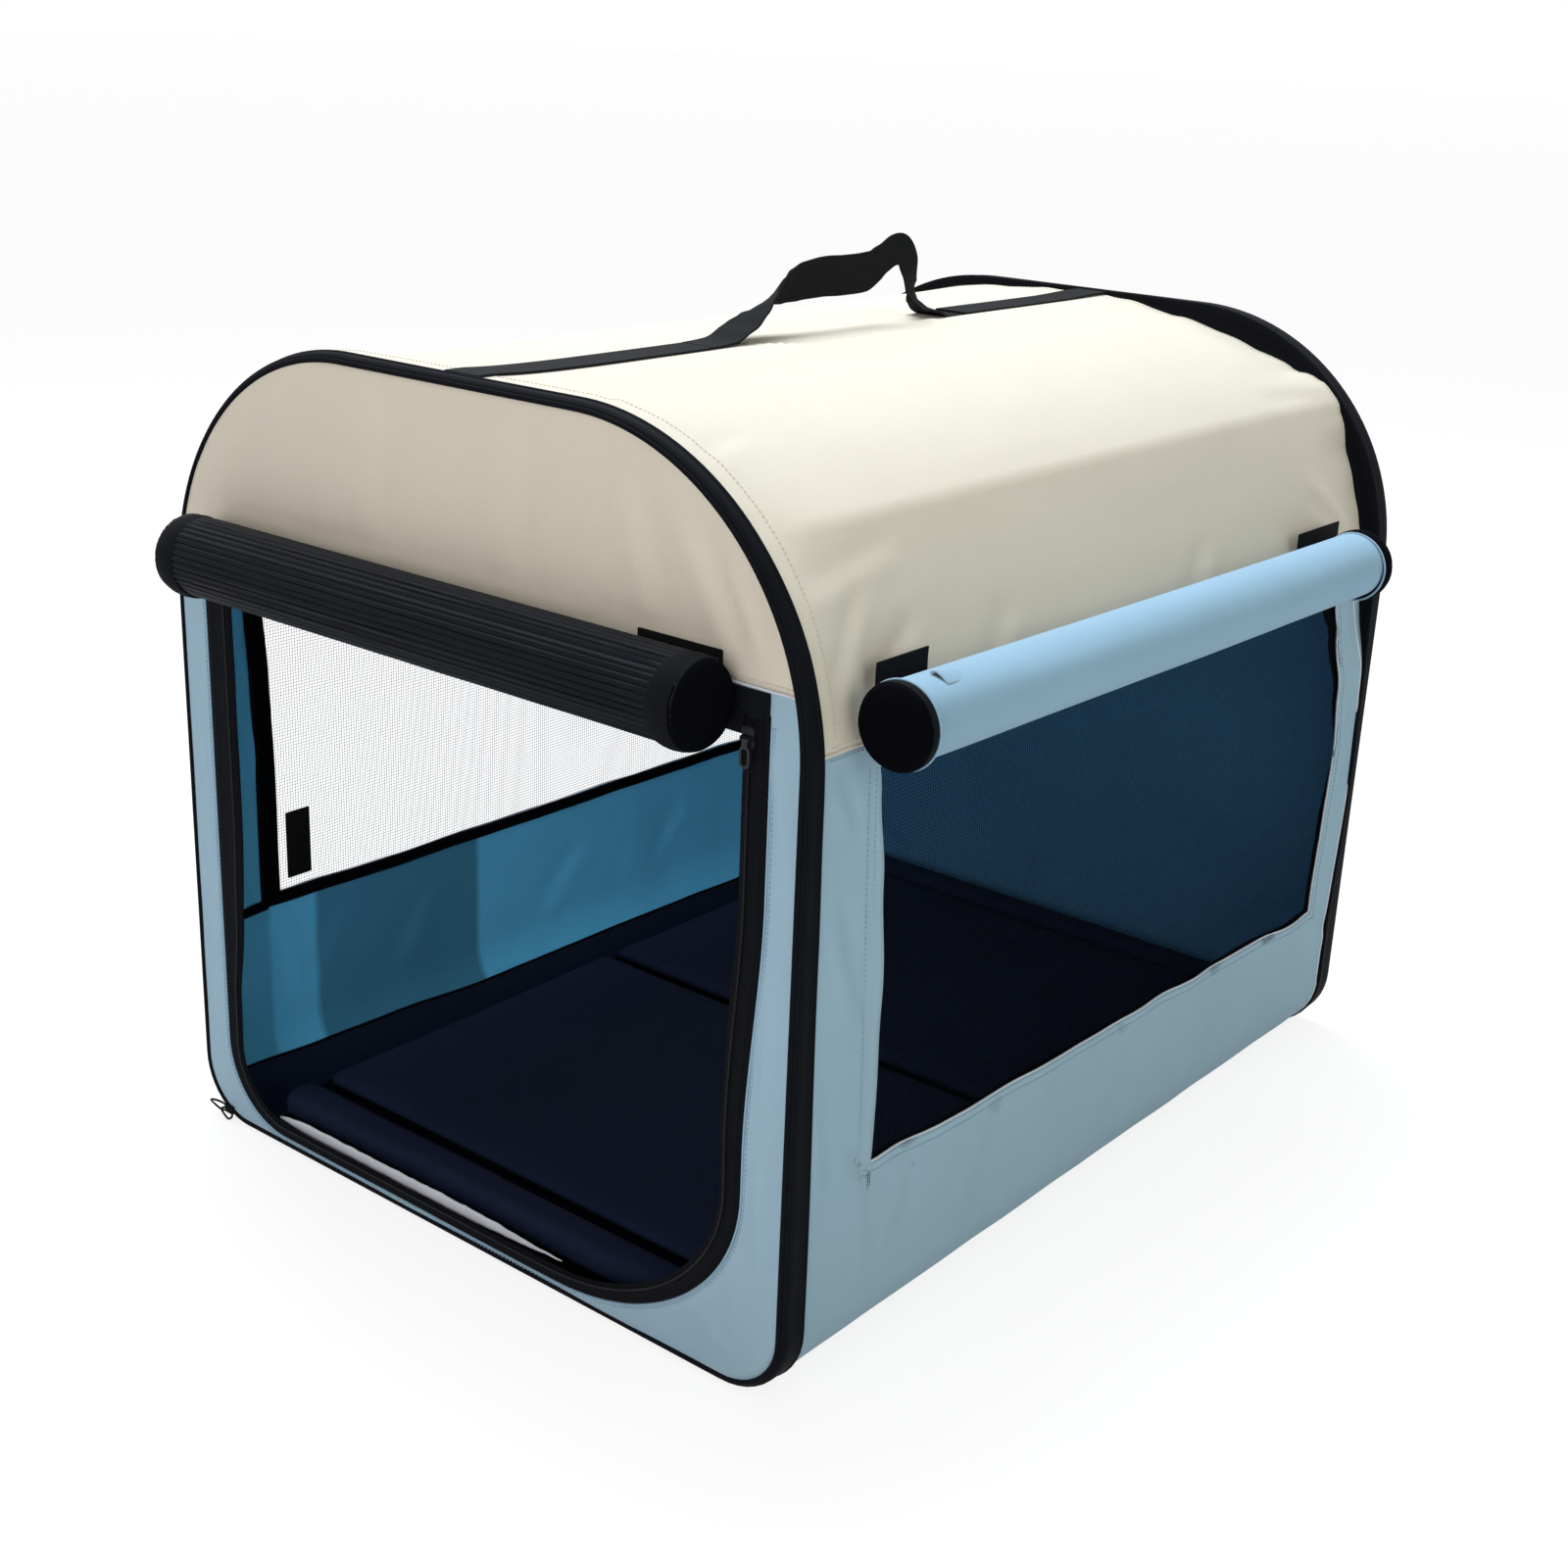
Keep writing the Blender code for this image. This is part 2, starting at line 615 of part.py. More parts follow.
def net(name, side):
    """Window net: one flat sheet with a square gap in each cell."""
    low_y = FRONT + WINDOW_FRONT - NET_LAP
    low_z = WINDOW_BOTTOM - NET_LAP
    step_y = (WINDOW_LENGTH + 2 * NET_LAP) / NET_COLUMNS
    step_z = (WINDOW_TOP - WINDOW_BOTTOM + 2 * NET_LAP) / NET_ROWS
    outer_x = WIDTH / 2 - SKIN - GAP
    layers = [side * outer_x, side * (outer_x - NET_THICKNESS)]
    half = NET_STRAND / 2
    mesh_data = bmesh.new()

    def corner(layer, a, b):
        return mesh_data.verts.new(place("x", a, b, layers[layer]))

    for column in range(NET_COLUMNS):
        for row in range(NET_ROWS):
            cell = box_outline(low_y + column * step_y, low_y + (column + 1) * step_y,
                               low_z + row * step_z, low_z + (row + 1) * step_z)
            hole = box_outline(cell[0][0] + half, cell[1][0] - half, cell[0][1] + half, cell[2][1] - half)
            rims = [[corner(layer, a, b) for a, b in outline] for layer in (0, 1) for outline in (cell, hole)]
            front_cell, front_hole, back_cell, back_hole = rims
            for index in range(4):
                after = (index + 1) % 4
                mesh_data.faces.new((front_cell[index], front_cell[after], front_hole[after], front_hole[index]))
                mesh_data.faces.new((back_cell[index], back_cell[after], back_hole[after], back_hole[index]))
                mesh_data.faces.new((front_hole[index], front_hole[after], back_hole[after], back_hole[index]))
            borders = [row == 0, column == NET_COLUMNS - 1, row == NET_ROWS - 1, column == 0]
            for index, on_border in enumerate(borders):
                if on_border:
                    after = (index + 1) % 4
                    mesh_data.faces.new((front_cell[index], front_cell[after], back_cell[after], back_cell[index]))
    return finish_mesh(name, mesh_data, "mesh")


def make_sides():
    """Bands, roof, floor fabric, side walls and their windows."""
    low = FRONT + FRONT_BAND + GAP
    high = REAR - REAR_BAND - GAP
    edge_band("front_edge_band", FRONT, FRONT + FRONT_BAND)
    edge_band("rear_edge_band", REAR - REAR_BAND, REAR)
    side_strip("roof_panel", 1, roof_path, low, high, "cream")
    prism("floor_panel", box_outline(-FLOOR_EDGE, FLOOR_EDGE, 0, SKIN), low, high, "y", "black")
    net_inner = WIDTH / 2 - SKIN - 2 * GAP - NET_THICKNESS
    for side_name, side in (("left", -1), ("right", 1)):
        wall = side_strip(side_name + "_wall", side, wall_path, low, high, "blue")
        reach = WIDTH / 2 + 10 * SKIN
        ends = sorted((side * (WIDTH / 2 - FOOT_RADIUS), side * reach))
        cutter = prism("window", window_outline(0), ends[0], ends[1], "x")
        boolean(wall, [cutter], "DIFFERENCE")
        net(side_name + "_window_mesh", side)
        ends = sorted((side * net_inner, side * (net_inner - BINDING_THICKNESS)))
        ring_prism(side_name + "_window_binding", window_outline(BINDING_OUT),
                   window_outline(-BINDING_IN), ends[0], ends[1], "x", "black")
    tab_outer = -(net_inner - BINDING_THICKNESS - GAP)
    tab_low = FRONT + WINDOW_FRONT + TAB_START
    outline = box_outline(tab_low - BINDING_IN, tab_low + TAB_WIDTH, TAB_BOTTOM, TAB_BOTTOM + TAB_HEIGHT)
    prism("window_tab", outline, tab_outer, tab_outer + SKIN, "x", "black")


# Rolled covers and their straps

def strap_inner(roll_radius):
    """Strap radius that clears the roll between the strap's corners."""
    return (roll_radius + GAP) / math.cos(math.pi / STRAP_SIDES)


def roll_standoff(roll_radius):
    """Distance of a roll's axis from the wall, with the strap passing behind it."""
    return strap_inner(roll_radius) + STRAP_THICKNESS + GAP


def spiral_lines(radius):
    """Outer and inner line of a rolled sheet, starting at the top next to the wall."""
    outer, inner = [], []
    count = ROLL_TURNS * ROLL_STEPS
    for step in range(count + 1):
        turn = step / ROLL_STEPS
        angle = math.radians(120 - 360 * turn)
        reach = radius - ROLL_PITCH * turn
        outer.append((reach * math.cos(angle), reach * math.sin(angle)))
        inner.append(((reach - ROLL_SHEET) * math.cos(angle), (reach - ROLL_SHEET) * math.sin(angle)))
    return outer, inner


def on_wall(points, wall, side, standoff, height):
    """Put roll or strap points on a wall: side is the way out from the wall."""
    return [(wall + side * (standoff + a), height + b) for a, b in points]


def rolled_cover(name, radius, wall, side, height, low, high, axis, finish):
    """A sheet rolled up lengthwise."""
    standoff = roll_standoff(radius)
    outer, inner = spiral_lines(radius)
    outer = on_wall(outer, wall, side, standoff, height)
    inner = on_wall(inner, wall, side, standoff, height)
    return strip_prism(name, outer, inner, low, high, axis, finish)


def strap_loop(radius, wall, side, height, ends, axis):
    """Elastic loop closed round the end of a roll."""
    standoff = roll_standoff(radius)
    inner = circle(0, 0, strap_inner(radius), STRAP_SIDES)
    outer = circle(0, 0, strap_inner(radius) + STRAP_THICKNESS, STRAP_SIDES)
    outer = on_wall(outer, wall, side, standoff, height)
    inner = on_wall(inner, wall, side, standoff, height)
    return ring_prism("loop", outer, inner, min(ends), max(ends), axis, "black")


def skin_path(inset, low_z, high_z):
    """The right shoulder between two heights."""
    between = shoulder_points(inset)[first_step_above(low_z):first_step_above(high_z)]
    return [seam_point(inset, low_z)] + between + [seam_point(inset, high_z)]


def make_door_roll():
    """Rolled door, with a strap at each end: a loop on the roll and a tab on the wall."""
    half = DOOR_ROLL_HALF
    rolled_cover("door_roll", DOOR_ROLL_RADIUS, FRONT, -1, DOOR_ROLL_Z, -half, half, "x", "mesh")
    near = FRONT - GAP
    far = near - STRAP_THICKNESS
    for side_name, side in (("left", -1), ("right", 1)):
        tab_end = side * (half - STRAP_OFFSET)
        tab_start = tab_end - side * STRAP_WIDTH
        outline = box_outline(min(tab_start, tab_end), max(tab_start, tab_end),
                              DOOR_ROLL_Z, DOOR_ROLL_Z + STRAP_RISE)
        tab = prism("door_strap_" + side_name, outline, far, near, "y", "black")
        ends = (side * half, side * (half - DOOR_LOOP_WIDTH))
        boolean(tab, [strap_loop(DOOR_ROLL_RADIUS, FRONT, -1, DOOR_ROLL_Z, ends, "x")], "UNION")


def make_cover_rolls():
    """Rolled window covers, with a strap at each end whose tab follows the shoulder."""
    low = FRONT + COVER_ROLL_FRONT
    high = REAR - COVER_ROLL_REAR
    skin_x = seam_point(0, COVER_ROLL_Z)[0]
    heights = (COVER_ROLL_Z, COVER_ROLL_Z + STRAP_RISE)
    for side_name, side in (("left", -1), ("right", 1)):
        wall = side * skin_x
        rolled_cover(side_name + "_cover_roll", COVER_ROLL_RADIUS, wall, side, COVER_ROLL_Z,
                     low, high, "y", "bright_blue")
        for end_name, end, inwards in (("front", low, 1), ("rear", high, -1)):
            tab_ends = (end + inwards * STRAP_OFFSET, end + inwards * (STRAP_OFFSET + STRAP_WIDTH))
            outer = on_side(side, skin_path(-GAP - STRAP_THICKNESS, *heights))
            inner = on_side(side, skin_path(-GAP, *heights))
            tab = strip_prism(side_name + "_cover_strap_" + end_name, outer, inner,
                              min(tab_ends), max(tab_ends), "y", "black")
            ends = (end, end + inwards * COVER_LOOP_WIDTH)
            boolean(tab, [strap_loop(COVER_ROLL_RADIUS, wall, side, COVER_ROLL_Z, ends, "y")], "UNION")


# Zip slider, its pull and the cord loops at the foot

def make_zip():
    """Slider on the right leg of the door's tape, and the pull that hangs from it."""
    x = SLIDER_X
    back = SLIDER_FACE + SLIDER_DEPTH
    face = SLIDER_FACE
    half = SLIDER_WIDTH / 2
    outline = rounded_box(x - half, x + half, SLIDER_Z - SLIDER_HEIGHT / 2,
                          SLIDER_Z + SLIDER_HEIGHT / 2, 2 * MM, 3)
    slider = prism("door_zip_slider", outline, face, back, "y", "black")
    pivot_y = PULL_PIVOT_Y
    neck_half = PULL_NECK / 2
    ears = []
    for side in (-1, 1):
        inner = x + side * (neck_half + GAP)
        ends = sorted((inner, inner + side * SLIDER_EAR))
        ear_back = face + SLIDER_EAR
        shape = arc(pivot_y, SLIDER_Z, PULL_PIVOT + GAP, -90, -270, 6)
        shape += [(ear_back, SLIDER_Z + PULL_PIVOT + GAP), (ear_back, SLIDER_Z - PULL_PIVOT - GAP)]
        ears.append(prism("ear", shape, ends[0], ends[1], "x"))
    boolean(slider, ears, "UNION")
    trunnion = PULL_PIVOT / 2
    bore = rod("bore", pivot_y, SLIDER_Z, trunnion + GAP, x - half - MM, x + half + MM, 8)
    boolean(slider, [bore], "DIFFERENCE")
    make_pull(x, pivot_y, trunnion)


def make_pull(x, pivot_y, trunnion):
    """Pull: a barrel between the slider's ears, a neck and an open loop."""
    neck_half = PULL_NECK / 2
    barrel = rod("door_zip_pull", pivot_y, SLIDER_Z, PULL_PIVOT, x - neck_half, x + neck_half, 10)
    pin_half = neck_half + GAP + SLIDER_EAR
    pin = rod("pin", pivot_y, SLIDER_Z, trunnion, x - pin_half, x + pin_half, 8)
    low_y = pivot_y - PULL_THICKNESS / 2
    neck_bottom = SLIDER_Z - PULL_LENGTH / 3
    neck_shape = box_outline(x - neck_half, x + neck_half, neck_bottom, SLIDER_Z)
    neck = prism("neck", neck_shape, low_y, low_y + PULL_THICKNESS, "y")
    half = PULL_WIDTH / 2
    loop_top = neck_bottom + PULL_THICKNESS
    outer = rounded_box(x - half, x + half, SLIDER_Z - PULL_LENGTH, loop_top, half - 0.2 * MM, 4)
    wire = PULL_THICKNESS
    inner = rounded_box(x - half + wire, x + half - wire, SLIDER_Z - PULL_LENGTH + wire,
                        loop_top - wire, half - wire - 0.2 * MM, 4)
    loop = ring_prism("loop", outer, inner, low_y, low_y + PULL_THICKNESS, "y", "black")
    return boolean(barrel, [pin, neck, loop], "UNION")


def cord_loop(name, centre):
    """A small closed loop of cord in the plane of the front wall."""
    mesh_data = bmesh.new()
    loops = []
    for a, b in circle(LOOP_RADIUS, 0, LOOP_CORD, 6):
        loops.append([mesh_data.verts.new(Vector((centre[0] + x, centre[1] + b, centre[2] + z)))
                      for x, z in circle(0, 0, a, 12)])
    join_loops(mesh_data, loops)
    return finish_mesh(name, mesh_data, "black")


def make_corner_pull():
    """Two cord loops on a small tab sewn at the front left foot."""
    turn = math.radians(225)
    corner_x = -(WIDTH / 2 - FOOT_RADIUS) + FOOT_RADIUS * math.cos(turn)
    corner_z = FOOT_RADIUS + FOOT_RADIUS * math.sin(turn)
    y = FRONT - GAP - 1.5 * MM
    tab = prism("corner_pull", rounded_box(corner_x - 5 * MM, corner_x + 5 * MM, corner_z,
                                           corner_z + 7 * MM, 2 * MM, 2),
                FRONT - GAP - 3 * MM, FRONT - GAP, "y", "black")
    upper = cord_loop("upper", (corner_x - 7 * MM, y, corner_z + 2 * MM))
    lower = cord_loop("lower", (corner_x + 1 * MM, y, corner_z - 3 * MM))
    return boolean(tab, [upper, lower], "UNION")


# Webbing and handle

def handle_line():
    """Middle line of the handle as (y, z): low in front, rising to a grip, steep behind."""
    rest = HEIGHT + GAP + HANDLE_THICKNESS / 2
    shape = [(0, 0), (0.09, 0.05), (0.2, 0.4), (0.33, 0.74), (0.5, 0.94), (0.66, 1), (0.78, 0.97)]
    shape += [(0.85, 0.75), (0.88, 0.4), (0.92, 0.1), (1, 0)]
    return [(HANDLE_START + a * HANDLE_LENGTH, rest + b * HANDLE_RISE) for a, b in shape]


def offset_line(line, distance):
    """A line moved square to itself."""
    moved = []
    for index, (a, b) in enumerate(line):
        before = line[max(index - 1, 0)]
        after = line[min(index + 1, len(line) - 1)]
        run = math.hypot(after[0] - before[0], after[1] - before[1])
        normal = (-(after[1] - before[1]) / run, (after[0] - before[0]) / run)
        moved.append((a + normal[0] * distance, b + normal[1] * distance))
    return moved


def make_webbing():
    """Carry webbing along the roof and the handle between its two lengths."""
    half = WEBBING_WIDTH / 2
    low = FRONT + FRONT_BAND + GAP
    high = REAR - REAR_BAND - GAP
    handle_end = HANDLE_START + HANDLE_LENGTH
    bottom = HEIGHT + GAP
    for name, near, far in (("front", low, HANDLE_START - GAP), ("rear", handle_end + GAP, high)):
        outline = box_outline(near, far, bottom, bottom + WEBBING_THICKNESS)
        prism("roof_webbing_" + name, outline, -half, half, "x", "black")
    line = handle_line()
    outer = offset_line(line, HANDLE_THICKNESS / 2)
    inner = offset_line(line, -HANDLE_THICKNESS / 2)
    strip_prism("carry_handle", outer, inner, -half, half, "x", "black")


# Joints

def hang_on_joint(name, point, pieces, parent=None):
    """An empty on a joint's axis, with the pieces that move there hung from it."""
    pivot = bpy.data.objects.new(name, None)
    bpy.context.scene.collection.objects.link(pivot)
    pivot.location = point
    if parent:
        pivot.parent = parent
        pivot.location = point - parent.matrix_world.translation
    bpy.context.view_layer.update()
    for piece_name in pieces:
        piece = bpy.data.objects[piece_name]
        piece.data.transform(Matrix.Translation(-point))
        piece.parent = pivot
    return pivot


def both_sides(*names):
    """The left and the right piece of each name."""
    return [name + side for name in names for side in ("_left", "_right")]


def make_joints():
    """The fold of the base and the spreader bars, the elbow buttons and the zip."""
    front_base = Vector((0, -REACH, BASE_PIVOT_Z))
    middle_base = Vector((0, 0, BASE_PIVOT_Z))
    rear_base = Vector((0, REACH, BASE_PIVOT_Z))
    base_front = hang_on_joint("base_front_fold", front_base, [
        *both_sides("base_rail_front"), "base_rod_middle", "base_board_front", "mat_front"])
    base_rear = hang_on_joint("base_mid_fold", middle_base, [
        *both_sides("base_rail_rear"), "base_board_rear", "mat_rear"], base_front)
    rear_frame = hang_on_joint("rear_frame_fold", rear_base, [
        *both_sides("spreader_pin_rear"), "rear_hoop", "base_rod_rear", "rear_wall_lower",
        "rear_wall_upper", "rear_edge_band", "mat_margin_rear"], base_rear)
    hang_on_joint("spreader_rear_fold", Vector((0, REACH, SPREADER_PIVOT_Z)),
                  both_sides("spreader_rear"), rear_frame)
    spreader_front = hang_on_joint("spreader_front_fold", Vector((0, -REACH, SPREADER_PIVOT_Z)),
                                   both_sides("spreader_front", "spreader_pin_elbow"))
    for side_name, side in (("left", -1), ("right", 1)):
        button_axis = Vector((side * SPREADER_X, -BUTTON_FROM_ELBOW, SPREADER_Z))
        hang_on_joint("elbow_button_slide_" + side_name, button_axis,
                      ["elbow_button_" + side_name], spreader_front)
    slider_axis = Vector((SLIDER_X, FRONT, SLIDER_Z))
    slider = hang_on_joint("door_zip_slide", slider_axis, ["door_zip_slider"])
    hang_on_joint("zip_pull_swing", Vector((SLIDER_X, PULL_PIVOT_Y, SLIDER_Z)),
                  ["door_zip_pull"], slider)


def main():
    """Clear the scene and build every piece."""
    for thing in list(bpy.data.objects):
        bpy.data.objects.remove(thing)
    make_frame()
    make_floor()
    make_end_walls()
    make_sides()
    make_door_roll()
    make_cover_rolls()
    make_zip()
    make_corner_pull()
    make_webbing()
    make_joints()


main()
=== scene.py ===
# %% [markdown]
# # A soft pet crate that folds flat
# The crate is a sewn fabric box on two steel hoops. Its frame was modelled before this
# lesson, as solids with hinges, and it is loaded here and never changed. What this
# lesson makes is everything soft: cloth, net, webbing, rolls and pads, each in the
# place of the plain solid that it stands for. Lengths are metres, the door is at -Y,
# and the origin is the middle of the underside.

# %% Load the frame
import math

import bmesh
import bpy
from mathutils import Matrix, Vector, noise


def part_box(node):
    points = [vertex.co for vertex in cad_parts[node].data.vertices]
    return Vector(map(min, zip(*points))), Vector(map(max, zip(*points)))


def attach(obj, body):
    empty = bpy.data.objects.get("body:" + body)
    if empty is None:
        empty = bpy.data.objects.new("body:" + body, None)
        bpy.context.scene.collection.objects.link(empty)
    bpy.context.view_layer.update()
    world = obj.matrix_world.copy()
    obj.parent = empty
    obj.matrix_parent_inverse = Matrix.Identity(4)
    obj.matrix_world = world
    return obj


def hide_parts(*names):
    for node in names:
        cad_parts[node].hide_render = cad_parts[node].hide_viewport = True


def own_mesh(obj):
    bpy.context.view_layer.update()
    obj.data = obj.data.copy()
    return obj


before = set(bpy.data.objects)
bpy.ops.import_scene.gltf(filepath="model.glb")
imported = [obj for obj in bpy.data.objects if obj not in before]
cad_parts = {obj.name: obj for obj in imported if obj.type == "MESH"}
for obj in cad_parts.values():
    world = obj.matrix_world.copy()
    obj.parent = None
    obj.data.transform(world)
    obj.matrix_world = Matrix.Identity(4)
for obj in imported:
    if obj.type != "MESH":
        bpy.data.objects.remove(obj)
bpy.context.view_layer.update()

# %% [markdown]
# ## The eye
# The view is the one of the photograph: high on the right, looking down at the front
# corner. A camera can be turned by hand until it fits, or worked out from points whose
# place is known. This one was worked out, so it is written as three angles and a lens.

# %% Camera
MM = 0.001


def look(place, yaw, pitch, roll, lens):
    """Camera at a place, turned about the vertical, tipped down and leaned over."""
    turn, tip, lean = (math.radians(angle) for angle in (yaw, pitch, roll))
    ahead = Vector((-math.sin(turn) * math.cos(tip), math.cos(turn) * math.cos(tip), -math.sin(tip)))
    right = Vector((math.cos(turn), math.sin(turn), 0))
    up = right.cross(ahead)
    leaned = right * math.cos(lean) + up * math.sin(lean)
    up = up * math.cos(lean) - right * math.sin(lean)
    eye = bpy.data.objects.new("camera", bpy.data.cameras.new("camera"))
    eye.data.lens = lens
    eye.data.clip_start = 0.05
    eye.matrix_world = Matrix.Translation(place) @ Matrix((leaned, up, -ahead)).transposed().to_4x4()
    bpy.context.scene.collection.objects.link(eye)
    bpy.context.scene.camera = eye


look((0.9892, -1.2772, 0.8324), 38.57, 19.89, 2.316, 49.24)
print("camera lens", bpy.context.scene.camera.data.lens)

# %% [markdown]
# ## Joining nodes
# The floor, the air behind it and every finish are trees of nodes. A few helpers make
# and join the nodes, so that a sum, a blend of two colours or a noise is one line.

# %% Helpers for node trees
def feed(tree, socket, value):
    """Join a socket to another one, or give it a number or colour."""
    if isinstance(value, bpy.types.NodeSocket):
        tree.links.new(value, socket)
    else:
        socket.default_value = value


def calc(tree, operation, *values):
    """One sum in a node tree."""
    made = tree.nodes.new("ShaderNodeMath")
    made.operation = operation
    for socket, value in zip(made.inputs, values):
        feed(tree, socket, value)
    return made.outputs[0]


def blend_colour(tree, share, low, high):
    """Colour between two, by a share."""
    made = tree.nodes.new("ShaderNodeMix")
    made.data_type = "RGBA"
    feed(tree, made.inputs[0], share)
    feed(tree, made.inputs[6], low)
    feed(tree, made.inputs[7], high)
    return made.outputs[2]


def speckle(tree, place, scale, detail):
    """Noise over a place."""
    made = tree.nodes.new("ShaderNodeTexNoise")
    feed(tree, made.inputs["Vector"], place)
    feed(tree, made.inputs["Scale"], scale)
    made.inputs["Detail"].default_value = detail
    return made


def new_group(name, wanted, given, kind="ShaderNodeTree"):
    """Node group with named inputs and outputs."""
    tree = bpy.data.node_groups.new(name, kind)
    for label, socket_type, value in wanted:
        socket = tree.interface.new_socket(label, in_out="INPUT", socket_type=socket_type)
        if value is not None:
            socket.default_value = value
    for label, socket_type in given:
        tree.interface.new_socket(label, in_out="OUTPUT", socket_type=socket_type)
    return tree, tree.nodes.new("NodeGroupInput").outputs, tree.nodes.new("NodeGroupOutput").inputs


FLOAT, VECTOR = "NodeSocketFloat", "NodeSocketVector"

# %% [markdown]
# ## Light and floor
# Big lamps far away give the soft light of a studio. The floor and the air behind it
# look white only to the camera, so they throw no extra light on the cloth, and the
# floor still darkens a little under the crate.

# %% Lamps, world and floor
def lamp(name, place, target, size, power, colour):
    """Square area lamp that faces a point."""
    light = bpy.data.lights.new(name, "AREA")
    light.size = size
    light.energy = power
    light.color = colour
    made = bpy.data.objects.new(name, light)
    made.location = place
    made.rotation_euler = (Vector(target) - Vector(place)).to_track_quat("-Z", "Y").to_euler()
    bpy.context.scene.collection.objects.link(made)


lamp("top_lamp", (-0.6, 0.3, 2.7), (0, 0, 0.5), 1.6, 92, (0.85, 0.94, 1.05))
lamp("front_lamp", (0.6, -2.8, 1.3), (0, -0.2, 0.3), 1.8, 30, (1.0, 0.945, 0.98))
lamp("side_lamp", (3.0, -0.6, 1.6), (0.2, 0, 0.2), 1.8, 21, (0.90, 1.0, 0.90))


def seen_white(tree, strength):
    """A strength that rays from the camera find, mirrored or not, and 0 for the others."""
    ray = tree.nodes.new("ShaderNodeLightPath").outputs
    seen = calc(tree, "MAXIMUM", ray["Is Camera Ray"], ray["Is Glossy Ray"])
    return calc(tree, "MULTIPLY", calc(tree, "MAXIMUM", seen, ray["Is Transmission Ray"]), strength)


world = bpy.data.worlds.new("studio")
bpy.context.scene.world = world
world.use_nodes = True
air = world.node_tree
sky = air.nodes["Background"].inputs
feed(air, sky["Color"], (1, 1, 1, 1))
feed(air, sky["Strength"], calc(air, "ADD", seen_white(air, 0.60), 0.40))

floor_finish = bpy.data.materials.new("studio_floor")
floor_finish.use_nodes = True
floor_tree = floor_finish.node_tree
floor_look = floor_tree.nodes["Principled BSDF"].inputs
feed(floor_tree, floor_look["Roughness"], 0.9)
feed(floor_tree, floor_look["Emission Color"], (1, 1, 1, 1))
feed(floor_tree, floor_look["Emission Strength"], seen_white(floor_tree, 0.83))
floor_tone = blend_colour(floor_tree, seen_white(floor_tree, 1.0), (0.8, 0.8, 0.8, 1), (0.18, 0.18, 0.18, 1))
feed(floor_tree, floor_look["Base Color"], floor_tone)
floor_mesh = bpy.data.meshes.new("studio_floor")
floor_mesh.from_pydata([(-30, -30, 0), (30, -30, 0), (30, 30, 0), (-30, 30, 0)], [], [(0, 1, 2, 3)])
floor_mesh.materials.append(floor_finish)
studio_floor = bpy.data.objects.new("studio_floor", floor_mesh)
studio_floor.location.z = -0.0006
bpy.context.scene.collection.objects.link(studio_floor)
bpy.context.scene.view_settings.view_transform = "Standard"
print("lamps", len(bpy.data.lights))

# %% [markdown]
# ## Shader parts that more than one finish uses
# Woven cloth is warp and weft, one over the other. The weave group counts threads
# along the cloth's own flat pattern, which every sheet carries in its UV map in
# metres, so that the threads have their real size everywhere. The use group adds what
# handling leaves, which is slack and an uneven tone. The rib group is for webbing. All
# three give numbers only.

# %% Weave, use and rib groups
def split(tree, vector):
    """The three numbers of a vector."""
    made = tree.nodes.new("ShaderNodeSeparateXYZ")
    tree.links.new(vector, made.inputs[0])
    return made.outputs


def wave(tree, axis):
    """Row of bows, one for each whole step of an axis."""
    return calc(tree, "ABSOLUTE", calc(tree, "SINE", calc(tree, "MULTIPLY", axis, math.pi)))


weave_group, given, result = new_group(
    "plain weave", [("Place", VECTOR, None), ("Threads", FLOAT, 1200.0)],
    [("Height", FLOAT), ("Yarn", FLOAT)])
along, across = (calc(weave_group, "MULTIPLY", axis, given["Threads"])
                 for axis in split(weave_group, given["Place"])[:2])
warp, weft = (wave(weave_group, axis) for axis in (along, across))
cell = calc(weave_group, "ADD", calc(weave_group, "FLOOR", along), calc(weave_group, "FLOOR", across))
over = calc(weave_group, "FLOORED_MODULO", cell, 2.0)
swap = calc(weave_group, "MULTIPLY", over, calc(weave_group, "SUBTRACT", weft, warp))
weave_group.links.new(calc(weave_group, "ADD", warp, swap), result["Height"])
stretch = weave_group.nodes.new("ShaderNodeCombineXYZ")
feed(weave_group, stretch.inputs[0], calc(weave_group, "MULTIPLY", along, 0.9))
feed(weave_group, stretch.inputs[1], calc(weave_group, "MULTIPLY", across, 0.05))
feed(weave_group, result["Yarn"], speckle(weave_group, stretch.outputs[0], 1.0, 1.0).outputs[0])

use_group, given, result = new_group(
    "handled cloth", [("Place", VECTOR, None), ("Size", FLOAT, 0.12)],
    [("Slack", FLOAT), ("Tone", FLOAT)])
broad = speckle(use_group, given["Place"], calc(use_group, "DIVIDE", 1.0, given["Size"]), 3.0)
broad.inputs["Roughness"].default_value = 0.55
fine = speckle(use_group, given["Place"], 60.0, 4.0)
use_group.links.new(broad.outputs[0], result["Slack"])
mixed = calc(use_group, "ADD", calc(use_group, "MULTIPLY", broad.outputs[0], 0.7),
             calc(use_group, "MULTIPLY", fine.outputs[0], 0.3))
use_group.links.new(mixed, result["Tone"])

rib_group, given, result = new_group(
    "webbing ribs", [("Place", VECTOR, None), ("Ribs", FLOAT, 500.0), ("Picks", FLOAT, 700.0)],
    [("Height", FLOAT)])
places = split(rib_group, given["Place"])
ridge, pick = (wave(rib_group, calc(rib_group, "MULTIPLY", axis, count))
               for axis, count in ((places[0], given["Ribs"]), (places[1], given["Picks"])))
rib_group.links.new(calc(rib_group, "ADD", calc(rib_group, "MULTIPLY", ridge, 0.7),
                         calc(rib_group, "MULTIPLY", pick, 0.3)), result["Height"])
print("groups", weave_group.name, use_group.name, rib_group.name)

